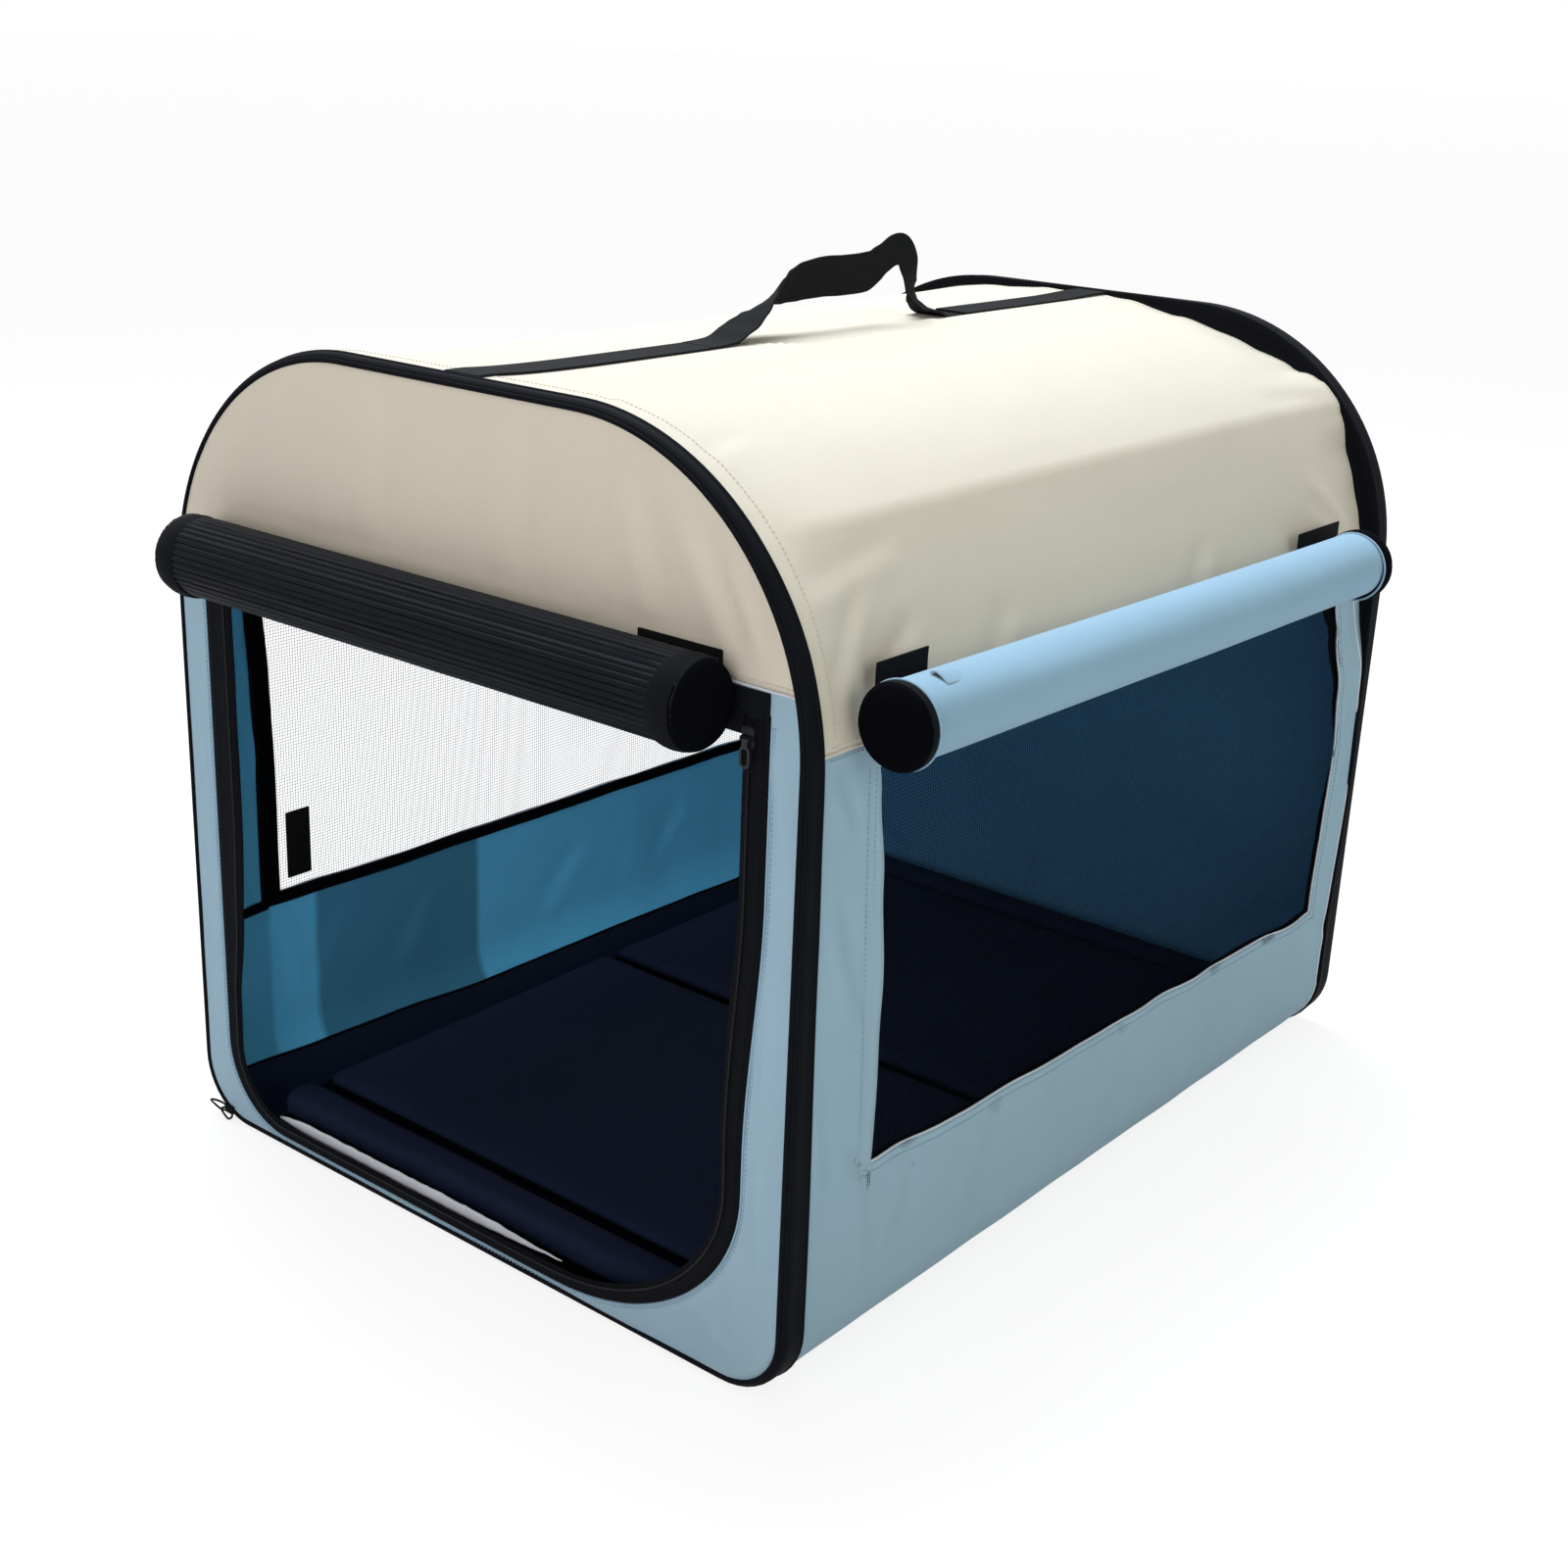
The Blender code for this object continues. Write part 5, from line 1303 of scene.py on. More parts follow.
# %% [markdown]
# ## Window bindings and tab
# Inside each window a wide black tape holds the net's edge against the wall. It follows
# the same eased outline as the wall's hole, so both come from one rule.

# %% Bindings
BINDING = 16 * MM


def window_loop(grow, side):
    """Window outline on the real wall, grown outwards, as closed (y, z) points."""
    front, rear, low, top = WINDOWS[side]
    corners = ((front - grow, low - grow * 0.58), (rear + grow * 0.7, low - grow * 0.58),
               (rear + grow * 0.7, top + grow * 0.7), (front - grow, top + grow * 0.7))
    loop = []
    for (start, end), count in zip(zip(corners, corners[1:] + corners[:1]), (70, 34, 70, 34)):
        loop += line_points(start, end, count)
    return [eased(*point, side) for point in loop]


for side_name, side in SIDES:
    def binding_shape(y, z, share, side=side):
        soft = 0.8 * crease(y, z, 3.0, 0.1, 0.05) * MM
        return Vector((side * (WIDTH / 2 - 3.2 * MM - sag(WALL_RUN + z - FOOT, y) - abs(soft)), y, z))

    mesh = ring_mesh(side_name + "_binding", window_loop(BINDING, side), window_loop(-1.5 * MM, side),
                     steps(0, 1, 0.2), binding_shape)
    binding = piece(side_name + "_binding", mesh, [black_cloth], "black_fabric",
                    [side_name + "_window_binding"])
    thicken(binding, 1.0 * MM)
    tape_length = line_length(window_loop(BINDING / 2, side))
    gives_way(binding)


def soft_slab(name, outline, thickness, matrix, finish=elastic_cloth, nodes=()):
    """Small flat piece of cloth or webbing with soft edges, placed by a matrix."""
    build = bmesh.new()
    flat = build.loops.layers.uv.new("UVMap")
    face = build.faces.new([build.verts.new((a, b, 0)) for a, b in outline])
    grown = bmesh.ops.extrude_face_region(build, geom=[face])
    moved = [item for item in grown["geom"] if isinstance(item, bmesh.types.BMVert)]
    bmesh.ops.translate(build, verts=moved, vec=(0, 0, thickness))
    bmesh.ops.recalc_face_normals(build, faces=build.faces)
    rims = [side for side in build.edges if abs(side.verts[0].co.z - side.verts[1].co.z) < 1e-6]
    bmesh.ops.bevel(build, geom=rims, offset=thickness * 0.4, segments=2, affect="EDGES", profile=0.5)
    for side in build.faces:
        for loop in side.loops:
            loop[flat].uv = (loop.vert.co.x, loop.vert.co.y)
    bmesh.ops.transform(build, matrix=matrix, verts=build.verts)
    return piece(name, built_mesh(name, build), [finish], "black_fabric", nodes)


def rounded(low_a, high_a, low_b, high_b, radius, count=4):
    """Rectangle with round corners."""
    points = arc_points(high_a - radius, low_b + radius, radius, -90, 0, count) + [(high_a, low_b + radius)]
    points += arc_points(high_a - radius, high_b - radius, radius, 0, 90, count) + [(high_a - radius, high_b)]
    points += arc_points(low_a + radius, high_b - radius, radius, 90, 180, count) + [(low_a, high_b - radius)]
    points += arc_points(low_a + radius, low_b + radius, radius, 180, 270, count)
    return points + [(low_a + radius, low_b)]


def inside_left(depth):
    """Matrix that lays a flat piece on the left wall's inner side."""
    return Matrix(((0, 0, 1, -WIDTH / 2 + depth), (1, 0, 0, 0), (0, 1, 0, 0), (0, 0, 0, 1)))


def on_front_wall(out):
    """Matrix that stands a flat piece on the front face."""
    return Matrix(((1, 0, 0, 0), (0, 0, -1, FRONT - out), (0, 1, 0, 0), (0, 0, 0, 1)))


tail = [(-352 * MM, 149 * MM), (-318 * MM, 151 * MM), (-318 * MM, 160 * MM), (-352 * MM, 157 * MM)]
gives_way(soft_slab("binding_tail", tail, 0.9 * MM, inside_left(3.4 * MM), black_cloth))
tab = soft_slab("net_tab", rounded(-299 * MM, -276 * MM, 172 * MM, 227 * MM, 1 * MM), 1.2 * MM,
                inside_left(4.4 * MM), black_webbing, ["window_tab"])
gives_way(tab)
print("tab on", tab.name)

# %% [markdown]
# ## Rolled door and rolled covers
# The door and both window covers are real sheets rolled up, so each is a spiral: long
# enough to be the sheet that would cover its opening. The inner turns stand out a little at the
# ends, which makes the ends domed, and show the black lining. The rolled net
# of the door makes fine ribs along the roll.

# %% Roll maker
def cover_droop(y):
    """How far a side roll hangs below its straight axis, more towards the rear."""
    share = (y + 337 * MM) / (618 * MM)
    return (2 + 11 * share - 3.5 * share * share) * MM


def roll_mesh(name, axis_point, axis, out, radius, pitch, turns, low, high, dome, ribs, rib_depth, seed,
              droop=None):
    """Spiral sheet round an axis. out is the way from the wall; the sheet starts on top."""
    build = bmesh.new()
    near = build.verts.layers.float.new("rim")
    stations = steps(0, 1, 1 / 48)
    rows, run = [], [0.0]
    turn_list = steps(0, 1.1, 1 / 240)[:-1] + steps(1.1, turns, 1 / 60)
    for number, turn in enumerate(turn_list):
        angle = math.radians(120 - 360 * turn)
        reach = radius - pitch * turn
        swell = dome * (1 - ((reach - 2 * MM) / (radius - 2 * MM)) ** 2)
        row = []
        for share in stations:
            along = low - swell + (high - low + 2 * swell) * share
            from_end = min(share, 1 - share) * (high - low)
            soft = crease(angle * 0.02 + turn, along, seed, 0.2, 0.01 if ribs > 10 else 0.1) * 0.5
            rib = rib_depth * math.sin(angle * ribs + 0.7 * crease(along, 0, seed, 1, 0.08))
            fade = (1.0 if turn < 1.1 else 0.3) * min(1.0, max(0.0, from_end / 0.012 - 0.6))
            slack = (soft * MM + rib * fade) * min(1.0, (turn * 8))
            spoke = out * math.cos(angle) + Z_AXIS * math.sin(angle)
            point = axis_point + axis * along + spoke * (reach + slack)
            if droop:
                point -= Z_AXIS * droop(along)
            vert = build.verts.new(point)
            vert[near] = max(0.0, 1 - from_end / 0.008)
            row.append(vert)
        rows.append(row)
        if number:
            run.append(run[-1] + 2 * math.pi * (turn - turn_list[number - 1]) * reach)
    quads(build, rows, lambda i, j: (run[i], stations[j] * (high - low)))
    for number, face in enumerate(build.faces):
        face.material_index = 0 if turn_list[number // (len(stations) - 1)] < 1.02 else 1
    return built_mesh(name, build), run[-1]


def roll(name, mesh_and_cut, length, finishes, slot, nodes, thickness, wall):
    """Rolled sheet as a piece."""
    mesh, cut = mesh_and_cut
    made = piece(name, mesh, finishes, slot, nodes)
    thicken(made, thickness)
    return made


# %% Door roll and cover rolls
DOOR_ROLL = 26.4 * MM
COVER_START, COVER_END = -337 * MM, 267 * MM
COVER_X, COVER_Z = 318.2, 453.5
door_axis = Vector((0, FRONT - 29.1 * MM, 462 * MM))
door_rolled = roll_mesh("rolled_door", door_axis, X_AXIS, -Y_AXIS, DOOR_ROLL, 4.6 * MM, 4.8,
                        -236 * MM, 236 * MM, 7 * MM, 40, 0.75 * MM, 1.0)
roll("rolled_door", door_rolled, 472 * MM, [door_cloth, black_cloth], "net", ["door_roll"], 2.0 * MM,
     "front_upper_cover")
for side_name, side in SIDES:
    cover_axis = Vector((side * COVER_X * MM, 0, COVER_Z * MM))
    rolled = roll_mesh(side_name + "_rolled_cover", cover_axis, Y_AXIS, X_AXIS * side, 26 * MM, 5.4 * MM, 4.2,
                       COVER_START, COVER_END, 6 * MM, 3, 0.2 * MM, 4.0 + side, cover_droop)
    if side > 0:
        rolled[0].flip_normals()
    cover_roll = roll(side_name + "_rolled_cover", rolled, 604 * MM, [bright_cloth, black_cloth],
                      "bright_blue_fabric", [side_name + "_cover_roll"], 2.0 * MM, side_name + "_side_cover")
    gives_way(cover_roll)
print("roll cut", round(door_rolled[1], 3), "and", round(rolled[1], 3), "m")

# %% [markdown]
# ## Roll ends, straps and tabs
# At each end of a roll the lining is gathered into a soft black dome, and an elastic loop
# holds it. The loop is sewn to a flat tab that lies on the wall above the roll. A dome is a disc
# of rings whose height follows a round crown, with the coil of the cloth inside just showing.

# %% Roll ends
def dome_mesh(name, centre, axis, out, radius, height, lip, seed):
    """Soft dome over the end of a roll, with a lip that turns back along it."""
    build = bmesh.new()
    flat = build.loops.layers.uv.new("UVMap")
    angles = [math.pi / 2 * n / 10 for n in range(11)]
    profile = [(radius * math.sin(angle), height * math.cos(angle)) for angle in angles]
    profile += [(radius + 0.2 * MM, -lip * 0.5), (radius - 0.6 * MM, -lip)]
    rings = []
    for r, h in profile[1:]:
        ring = []
        for number in range(48):
            angle = 2 * math.pi * number / 48
            coil = 0.5 * math.sin(angle + r / (1.4 * MM)) * min(1.0, (radius - r) / 0.006 + 0.1)
            fold = 0.5 * crease(angle, r, seed, 0.02, 0.5) * (r / radius)
            push = axis * (h + (coil + fold) * MM)
            spoke = out * math.cos(angle) + Z_AXIS * math.sin(angle)
            ring.append(build.verts.new(centre + push + spoke * r))
        rings.append(ring)
    tip = build.verts.new(centre + axis * height)
    for n in range(48):
        build.faces.new((tip, rings[0][n], rings[0][(n + 1) % 48]))
        for ring, after in zip(rings, rings[1:]):
            build.faces.new((ring[n], after[n], after[(n + 1) % 48], ring[(n + 1) % 48]))
    build.faces.new(rings[-1])
    bmesh.ops.recalc_face_normals(build, faces=build.faces)
    for face in build.faces:
        for loop in face.loops:
            away = loop.vert.co - centre
            loop[flat].uv = (away.dot(out), away.z)
    return built_mesh(name, build)


def loop_mesh(name, centre, axis, out, radius, width, thickness):
    """Elastic loop round a roll, fuller in the middle of its width."""
    half = width / 2
    profile = [(-half, 0.3 * MM), (-half * 0.6, 0), (half * 0.6, 0), (half, 0.3 * MM), (half, thickness * 0.7),
               (half * 0.6, thickness * 1.3), (0, thickness * 1.6), (-half * 0.6, thickness * 1.3),
               (-half, thickness * 0.7)]
    frames = []
    for number in range(64):
        angle = 2 * math.pi * number / 64
        spoke = out * math.cos(angle) + Z_AXIS * math.sin(angle)
        frames.append((centre + spoke * radius, axis, spoke))
    return swept_mesh(name, frames, profile, caps=False)


# each end: place, way off the roll, cap's radius and lip, radius of the hem behind it
COVER_ENDS = (("front", COVER_START, -1, 26.3, 5, 26.8), ("rear", COVER_END, 1, 27.4, 9, 26.1))
for side_name, side in SIDES:
    out = X_AXIS * side
    mesh = dome_mesh("cap", door_axis + out * 235 * MM, out, -Y_AXIS, 27.3 * MM, 10 * MM, 6 * MM, side)
    piece("rolled_door_end_" + side_name, mesh, [black_cloth], "black_fabric", smooth=70)
    mesh = loop_mesh("loop", door_axis + out * 226 * MM, X_AXIS, -Y_AXIS, 26.6 * MM, 17 * MM, 1.4 * MM)
    strap = "door_strap_" + side_name
    piece(strap + "_loop", mesh, [elastic_cloth], "black_fabric", [strap])
    for end_name, y, away, full, lip, hem in COVER_ENDS:
        centre = Vector((side * COVER_X * MM, y - away * 1 * MM, COVER_Z * MM - cover_droop(y)))
        back = Y_AXIS * away
        mesh = dome_mesh("cap", centre, back, out, full * MM, 9 * MM, lip * MM, side + y)
        gives_way(piece(side_name + "_rolled_cover_end_" + end_name, mesh, [black_cloth], "black_fabric",
                        smooth=70))
        spokes = [X_AXIS * math.cos(turn) + Z_AXIS * math.sin(turn) for turn in steps(0, 2 * math.pi, 0.14)]
        ring = [centre - back * (lip + 1.2) * MM + spoke * hem * MM for spoke in spokes]
        welt(side_name + "_rolled_cover_edge_" + end_name, ring, bright_cloth, "bright_blue_fabric", 0.8 * MM,
             Y_AXIS, folds=True)
        mesh = loop_mesh("loop", centre - back * 2.5 * MM, Y_AXIS, out, 26.1 * MM, 6 * MM, 0.6 * MM)
        strap = side_name + "_cover_strap_" + end_name
        gives_way(piece(strap + "_loop", mesh, [elastic_cloth], "black_fabric", [strap]))
print("roll ends", 6)

# %% Tabs on the walls
for side_name, side in SIDES:
    low, high, top = (-236, -184, 480.5) if side < 0 else (161, 227, 487)
    outline = rounded(low * MM, high * MM, 460 * MM, top * MM, 1 * MM)
    soft_slab("door_strap_" + side_name + "_tab", outline, 1.5 * MM, on_front_wall(0.5 * MM))
    for end_name, low, wide, foot in (("front", -319, 51, 453), ("rear", 214, 68, 444)):
        runs = steps(run_at(foot * MM), run_at((foot + 27) * MM), 3 * MM)
        frames = []
        for run in runs:
            x, z = skin(run)
            nx, nz = (b - a for a, b in zip((x, z), skin(run, 1)))
            lean = 0.2 + 0.6 * (z - foot * MM) / (27 * MM)
            place = Vector((side * (x + (290.5 * MM - x) * lean), (low + wide / 2) * MM, z))
            frames.append((place, Y_AXIS, Vector((side * nx, 0, nz * 0.3)).normalized()))
        mesh = swept_mesh("tab", frames, band_profile(wide * MM, 1.5 * MM))
        tab_name = side_name + "_cover_strap_" + end_name + "_tab"
        gives_way(piece(tab_name, mesh, [elastic_cloth], "black_fabric"))
soft_slab("door_header_tape", rounded(-258 * MM, 263 * MM, 452 * MM, 468.8 * MM, 1 * MM), 1.2 * MM,
          on_front_wall(0.2 * MM))
soft_slab("door_header_corner", rounded(222 * MM, 244 * MM, 440.5 * MM, 453 * MM, 1 * MM), 1.2 * MM,
          on_front_wall(0.05 * MM))


def flap_point(a, b):
    """Corner of the cover, which lifts off the roll along its front edge."""
    angle = math.radians(92 - 32 * a)
    reach = 26.2 + 3.4 * (1 - b) ** 2 * (1 - a) * (0.2 + 0.8 * min(1, 4 * a)) - 1.2 * b - 0.5 * a * a
    x, y, z = COVER_X + reach * math.cos(angle), (-305 + 30 * b) * MM, COVER_Z + reach * math.sin(angle)
    return Vector((x * MM, y, z * MM - cover_droop(y)))


flap = grid_mesh("cover_corner_flap", steps(0, 1, 0.1), steps(0, 1, 0.1), flap_point, flip=True)
corner_flap = piece("cover_corner_flap", flap, [bright_cloth, black_cloth], "bright_blue_fabric")
thicken(corner_flap, 0.9 * MM, 1)
gives_way(corner_flap)
print("tabs", 6)

# %% [markdown]
# ## Webbing and handle
# Two lengths of webbing are sewn along the roof, and the carry handle is a third that
# arches between them. Its line goes through measured points: low in front, a long
# rise to the grip and a steep drop behind. Each band is one flat profile carried along its line.

# %% Webbing sweep
HANDLE = [(-152, 0.4), (-136, 1.0), (-124, 2.4), (-113, 4.5), (-104, 8), (-92, 14.5), (-80, 21), (-67, 28),
          (-45, 33.5), (-15, 36), (9, 35.5), (35, 36), (46, 38.5), (54, 42.5), (62.3, 46.2), (71, 50),
          (80.6, 50.7), (87, 47.5), (91.5, 41), (94.5, 33), (97, 23), (102, 13), (112, 5.5), (126, 1.5),
          (136, 0.5), (152, 0.4)]
HANDLE_TWIST = [(-104, 0), (-92, 10), (-80, 26), (-67, 48), (-55, 64), (-40, 76), (-15, 84), (9, 86), (40, 88),
                (92, 92), (97, 108), (103, 142), (110, 170), (118, 180)]
HANDLE_REACH = [(38, 1.0), (50, 0.9), (60, 0.8), (94, 0.8), (101, 0.9), (110, 1.0)]


def on_roof(y, lift):
    """Point over the middle of the sagging roof."""
    return Vector((0, y, HEIGHT + roof_out(HALF_RUN, y) + lift))


def twisted_frames(points):
    """Frames of the handle, which stands on edge at the grip and turns its face aside where it drops."""
    frames = []
    for point, across, up in path_frames(points, Z_AXIS):
        ahead = up.cross(across)
        turn = math.radians(along_table(HANDLE_TWIST, point.y / MM))
        side = X_AXIS * math.cos(turn) + X_AXIS.cross(ahead) * math.sin(turn)
        frames.append((point, side * along_table(HANDLE_REACH, point.y / MM), side.cross(ahead)))
    return frames


def roof_band(name, low, high, node):
    """Length of webbing sewn along the roof."""
    points = [on_roof(y, 0.4 * MM) for y in steps(low, high, 8 * MM)]
    mesh = swept_mesh(name, path_frames(points, Z_AXIS), band_profile(30 * MM, 1.5 * MM))
    gives_way(piece(name, mesh, [black_webbing], "black_fabric", [node]))


roof_band("roof_band_front", FRONT + 9 * MM, -151.7 * MM, "roof_webbing_front")
roof_band("roof_band_rear", 151.7 * MM, REAR - 15 * MM, "roof_webbing_rear")
handle_points = [Vector((0, y * MM, HEIGHT + rise * MM)) for y, rise in HANDLE]
handle_points = [on_roof(point.y, rise * MM) if rise < 3 else point
                 for point, (y, rise) in zip(handle_points, HANDLE)]
handle_line = smooth_line(handle_points, 3 * MM)
handle_frames = twisted_frames(handle_line)
handle_mesh = swept_mesh("handle_band", handle_frames, band_profile(30 * MM, 1.7 * MM))
handle_band = piece("handle_band", handle_mesh, [black_webbing], "black_fabric", ["carry_handle"])
gives_way(handle_band)
print("handle length", round(sum((b - a).length for a, b in zip(handle_line, handle_line[1:])), 3), "m")

# %% [markdown]
# ## Floor cloth and mat
# Under the boards lies a black floor cloth. On the boards lies the mat, a thin pad
# in two halves that fold with the boards, with soft margins over the hinges. A pad
# can be modelled by hand, but cloth under pressure finds its own crown and pulled-in
# corners: a slab a little smaller than the pad is remeshed, blown up for twenty frames,
# and held within a few millimetres of where it started.

# %% Floor cloth
floor_places = steps(FRONT + 19 * MM, REAR - 19 * MM, 12 * MM)
floor_runs = steps(-FLOOR_RUN + 2 * MM, FLOOR_RUN - 2 * MM, 12 * MM)


def floor_point(x, y):
    """Point of the floor cloth, which lies just over the ground."""
    return Vector((x, y, 1.0 * MM + 0.25 * MM * (1 + crease(x, y, 6.0, 0.2, 0.1))))


floor_mesh = grid_mesh("floor_cloth", floor_runs, floor_places, floor_point, flip=True)
floor_cloth = piece("floor_cloth", floor_mesh, [black_cloth], "black_fabric", ["floor_panel"])
thicken(floor_cloth, 0.9 * MM)
gives_way(floor_cloth)
print("floor cloth lowest", round(min(v.co.z for v in floor_cloth.data.vertices) / MM, 2), "mm")


# %% Blown pads
def slab(name, low, high, corner):
    """Closed slab with round corners."""
    build = bmesh.new()
    outline = rounded(low.x, high.x, low.y, high.y, corner)
    face = build.faces.new([build.verts.new((a, b, low.z)) for a, b in outline])
    grown = bmesh.ops.extrude_face_region(build, geom=[face])
    moved = [item for item in grown["geom"] if isinstance(item, bmesh.types.BMVert)]
    bmesh.ops.translate(build, verts=moved, vec=(0, 0, high.z - low.z))
    bmesh.ops.recalc_face_normals(build, faces=build.faces)
    made = bpy.data.objects.new(name, built_mesh(name, build))
    bpy.context.scene.collection.objects.link(made)
    return made


def blow_up(made, cap, low_z, high_z):
    """Swell a pad as cloth under pressure, then hold every point near its start."""
    rest = [vert.co.copy() for vert in made.data.vertices]
    air_in = made.modifiers.new("air", "CLOTH")
    air_in.settings.use_pressure = True
    air_in.settings.uniform_pressure_force = 4
    air_in.settings.effector_weights.gravity = 0
    air_in.settings.quality = 4
    for number in range(1, 21):
        bpy.context.scene.frame_set(number)
    settle(made)
    bpy.context.scene.frame_set(1)
    for vert, start in zip(made.data.vertices, rest):
        moved = vert.co - start
        if moved.length > cap:
            vert.co = start + moved.normalized() * cap
        vert.co.z = min(high_z, max(low_z, vert.co.z))


def pad(name, node, body):
    """Mat half or margin in the place of its solid."""
    low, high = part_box(node)
    inset = Vector((2 * MM, 2 * MM, 1.2 * MM))
    made = slab(name, low + inset, high - inset, 10 * MM)
    grid = made.modifiers.new("remesh", "REMESH")
    grid.mode = "VOXEL"
    grid.voxel_size = 5.5 * MM
    settle(made)
    blow_up(made, 3.4 * MM, low.z + 0.1 * MM, high.z + 0.6 * MM)
    for vert in made.data.vertices:
        if vert.co.z > (low.z + high.z) / 2:
            vert.co.z += crease(vert.co.x, vert.co.y, 4.0, 0.12, 0.09) * 0.7 * MM
    soft = made.modifiers.new("soft", "SUBSURF")
    soft.levels = soft.render_levels = 1
    settle(made)
    mesh = made.data
    flat = mesh.uv_layers.new(name="UVMap")
    for loop in mesh.loops:
        place = mesh.vertices[loop.vertex_index].co
        flat.data[loop.index].uv = (place.x, place.y + place.z)
    mesh.materials.clear()
    bpy.data.objects.remove(made)
    made = piece(name, mesh, [mat_cloth], "mat", [node], body, smooth=80)
    return made


for end_name in ("front", "rear"):
    made = pad("mat_pad_" + end_name, "mat_" + end_name, "base_" + end_name)
    print(made.name, len(made.data.polygons), "faces")
for end_name, anchor in (("front", -0.367), ("rear", 0.367)):
    made = pad("mat_end_" + end_name, "mat_margin_" + end_name, end_name + "_frame")
    gives_way(made)


def sill_point(x, share):
    """Point of the pale strip at the door's foot, which narrows towards both ends."""
    wide = (share - 0.5) * 9.5 * min(1.0, (x / MM + 214) / 30, (96 - x / MM) / 90)
    z = 20 + 0.016 * (x / MM + 209) / 2 + wide + 1.3 * crease(x, 0, 7.0, 1, 0.012)
    return Vector((x, FRONT + (6 + 0.8 * crease(x, share, 3.0, 1, 0.02)) * MM, z * MM))


sill = grid_mesh("sill_edge", steps(-209 * MM, 93 * MM, 5 * MM), steps(0, 1, 0.25), sill_point)
sill_edge = piece("sill_edge", sill, [edge_cloth], "blue_fabric")
thicken(sill_edge, 0.9 * MM)

# %% [markdown]
# ## Rows of stitches
# Every edge of the crate is sewn. Here thread runs beside the door's frame and tape, the front seam, the roof's
# edges, the windows, the side seams, the webbing and the handle.
# The stitches are the same beads as the zip's teeth, longer and thinner. Their rows are
# lines laid just over the cloth, and a row sits half in the cloth so that it looks pulled in.

# %% Rows of stitches
THREAD_LIFT = 0.35 * MM
thread_finish = {"cream_fabric": cream_cloth, "blue_fabric": bright_cloth, "black_fabric": black_webbing}


def stitches(name, lines, slot, folds=True):
    """Rows of stitches on the cloth of a slot."""
    beads(name, lines, thread_finish[slot], slot, 3.6 * MM, 2.7 * MM, 0.7 * MM, folds=folds)


def on_front(points, out=0.4):
    """Points of the front face."""
    return [Vector((x, FRONT - out * MM, z)) for x, z in points]


frame_row = on_front(open_door_loop(-4.5 * MM))
stitches("door_frame_stitches", [frame_row], "blue_fabric", folds=False)
tape_rows = [on_front(tape_line(share), 1.6) for share in (0.2, 0.93)]
stitches("door_tape_stitches", tape_rows, "black_fabric", folds=False)
seam_row = [(x, FRONT_SEAM + 4 * MM) for x in steps(-seam_half + 4 * MM, seam_half - 4 * MM, 9 * MM)]
stitches("front_seam_stitches", [on_front(seam_row)], "cream_fabric", folds=False)
roof_rows = []
for y in (FRONT + 24 * MM, REAR - 27 * MM):
    roof_rows.append([on_skin(run, y, roof_out(run, y) + 0.3 * MM) for run in roof_runs[2:-2]])
for run in (roof_runs[0] + 4 * MM, roof_runs[-1] - 4 * MM):
    roof_rows.append([on_skin(run, y, roof_out(run, y) + 0.3 * MM) for y in roof_places[3:-2]])
stitches("roof_stitches", roof_rows, "cream_fabric")
for side_name, side in SIDES:
    front, rear, low, top = WINDOWS[side]
    rows = []
    for out in (4 * MM, 13 * MM):
        under, behind = low - out * 0.6, rear + out * 0.7
        row = wall_rise(side, front - out, top, under, THREAD_LIFT, 5 * MM)[:-1]
        row += wall_row(side, run_at(under), front - out, behind, THREAD_LIFT, 5 * MM)[:-1]
        rows.append(row + wall_rise(side, behind, under, top, THREAD_LIFT, 5 * MM))
    rows.append(wall_row(side, WALL_HIGH_RUN - 4 * MM, WALL_FRONT + 16 * MM, WALL_REAR - 12 * MM, THREAD_LIFT))
    stitches(side_name + "_window_stitches", rows, "blue_fabric")
webbing_rows = []
for low, high in ((FRONT + 22 * MM, -114 * MM), (126 * MM, REAR - 30 * MM)):
    for x in (-12.5 * MM, 12.5 * MM):
        webbing_rows.append([on_roof(y, 1.3 * MM) + Vector((x, 0, 0)) for y in steps(low, high, 8 * MM)])
for low, high in ((-150 * MM, -122 * MM), (128 * MM, 150 * MM)):
    for a, b in ((-1, 1), (1, -1)):
        cross = [(12 * MM * (a + (b - a) * share), low + (high - low) * share) for share in steps(0, 1, 0.2)]
        webbing_rows.append([on_roof(y, 1.6 * MM) + Vector((x, 0, 0)) for x, y in cross])
    for y in (low, high):
        webbing_rows.append([on_roof(y, 1.6 * MM) + Vector((x, 0, 0)) for x in (-12 * MM, 0, 12 * MM)])
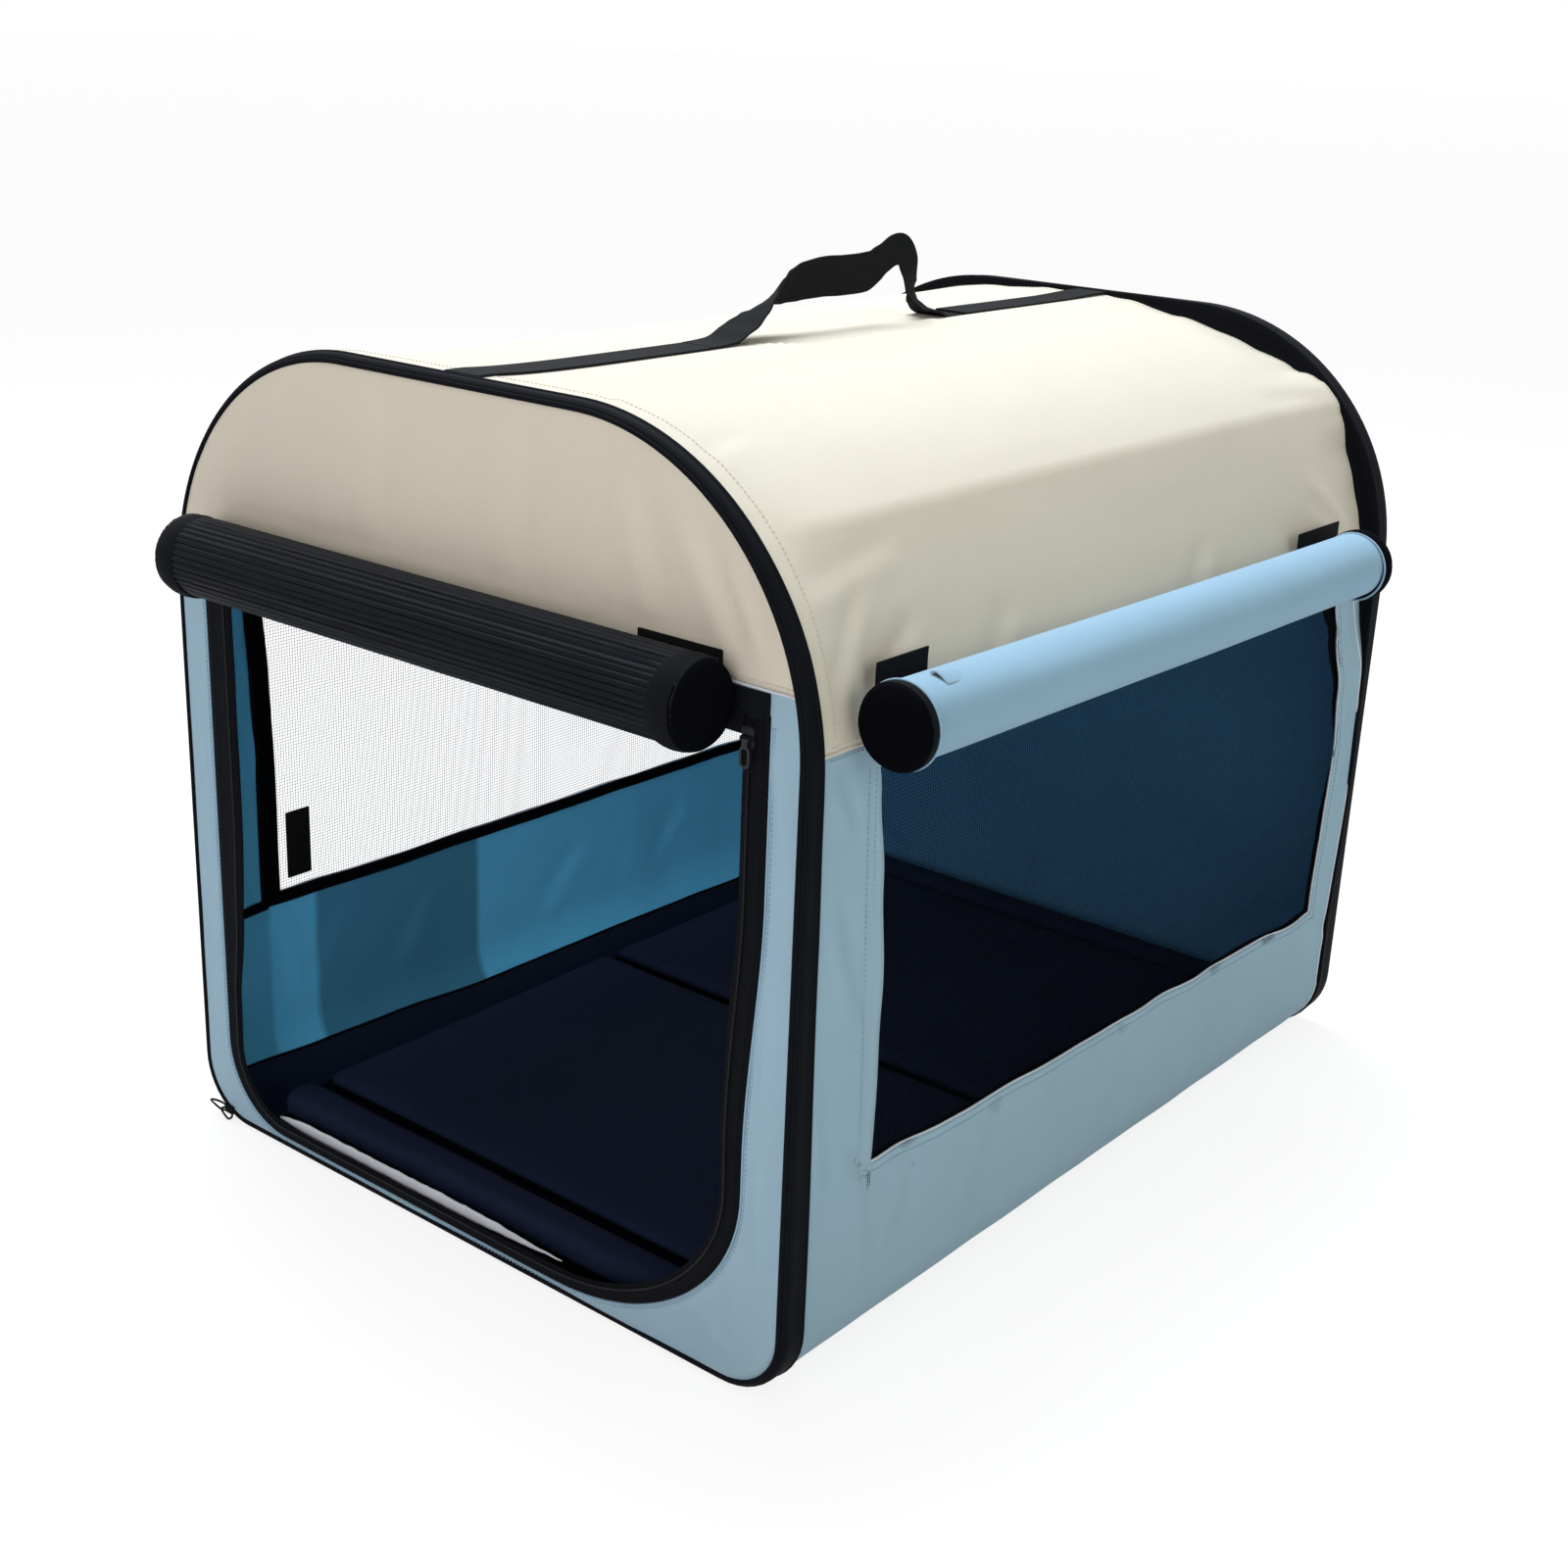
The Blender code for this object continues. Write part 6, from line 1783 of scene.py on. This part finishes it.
stitches("webbing_stitches", webbing_rows, "black_fabric")
handle_rows = [[place + side * a + up * 1.0 * MM for place, side, up in handle_frames[6:-6]]
               for a in (-12.5 * MM, 12.5 * MM)]
stitches("handle_stitches", handle_rows, "black_fabric")
print("stitch rows", len(webbing_rows) + len(roof_rows))

# %% [markdown]
# ## Cord loops at the foot
# Low on the front left foot two small loops of cord hang from a sewn tab. A loop is a round
# profile carried once round a circle that is pulled a little long.

# %% Cord loops
corner = Vector((-263.5 * MM, FRONT - 1.8 * MM, 5.4 * MM))
outline = rounded(corner.x - 5 * MM, corner.x + 5 * MM, corner.z, corner.z + 7 * MM, 1.5 * MM)
soft_slab("cord_tab", outline, 2.4 * MM, on_front_wall(0.4 * MM), nodes=["corner_pull"])
for name, centre, reach, rise in (("upper", corner + Vector((-13 * MM, 0, 3 * MM)), 10, 3),
                                  ("lower", corner + Vector((-2 * MM, -1 * MM, 0)), 6.5, 4.4)):
    frames = []
    for angle in (2 * math.pi * number / 28 for number in range(28)):
        spoke = Vector((math.cos(angle) * reach, 0.7 * math.sin(2 * angle), math.sin(angle) * rise))
        frames.append((centre + spoke * MM, Y_AXIS, Vector((math.cos(angle), 0, math.sin(angle)))))
    mesh = swept_mesh("cord", frames, round_profile(0.9 * MM, 6), caps=False)
    piece("cord_loop_" + name, mesh, [elastic_cloth], "black_fabric", smooth=80)
print("cord loops", 2)

# %% [markdown]
# ## The frame's own finishes
# The solids of the frame have the right shape already, so they only get a finish.

# %% Finishes of the solids
HARD = {"front_hoop": coated_steel, "rear_hoop": coated_steel, "base_rail": coated_steel,
        "spreader_front": coated_steel, "spreader_rear": coated_steel, "base_rod": bright_pin,
        "spreader_pin": bright_pin, "elbow_button": bright_pin, "base_board": black_cloth,
        "door_zip_slider": zip_metal, "door_zip_pull": zip_metal}
coated_count = 0
for node_name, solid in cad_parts.items():
    for start, finish in HARD.items():
        if node_name.startswith(start):
            for place in solid.material_slots:
                place.material = finish
            coated_count += 1
print("solids finished", coated_count)
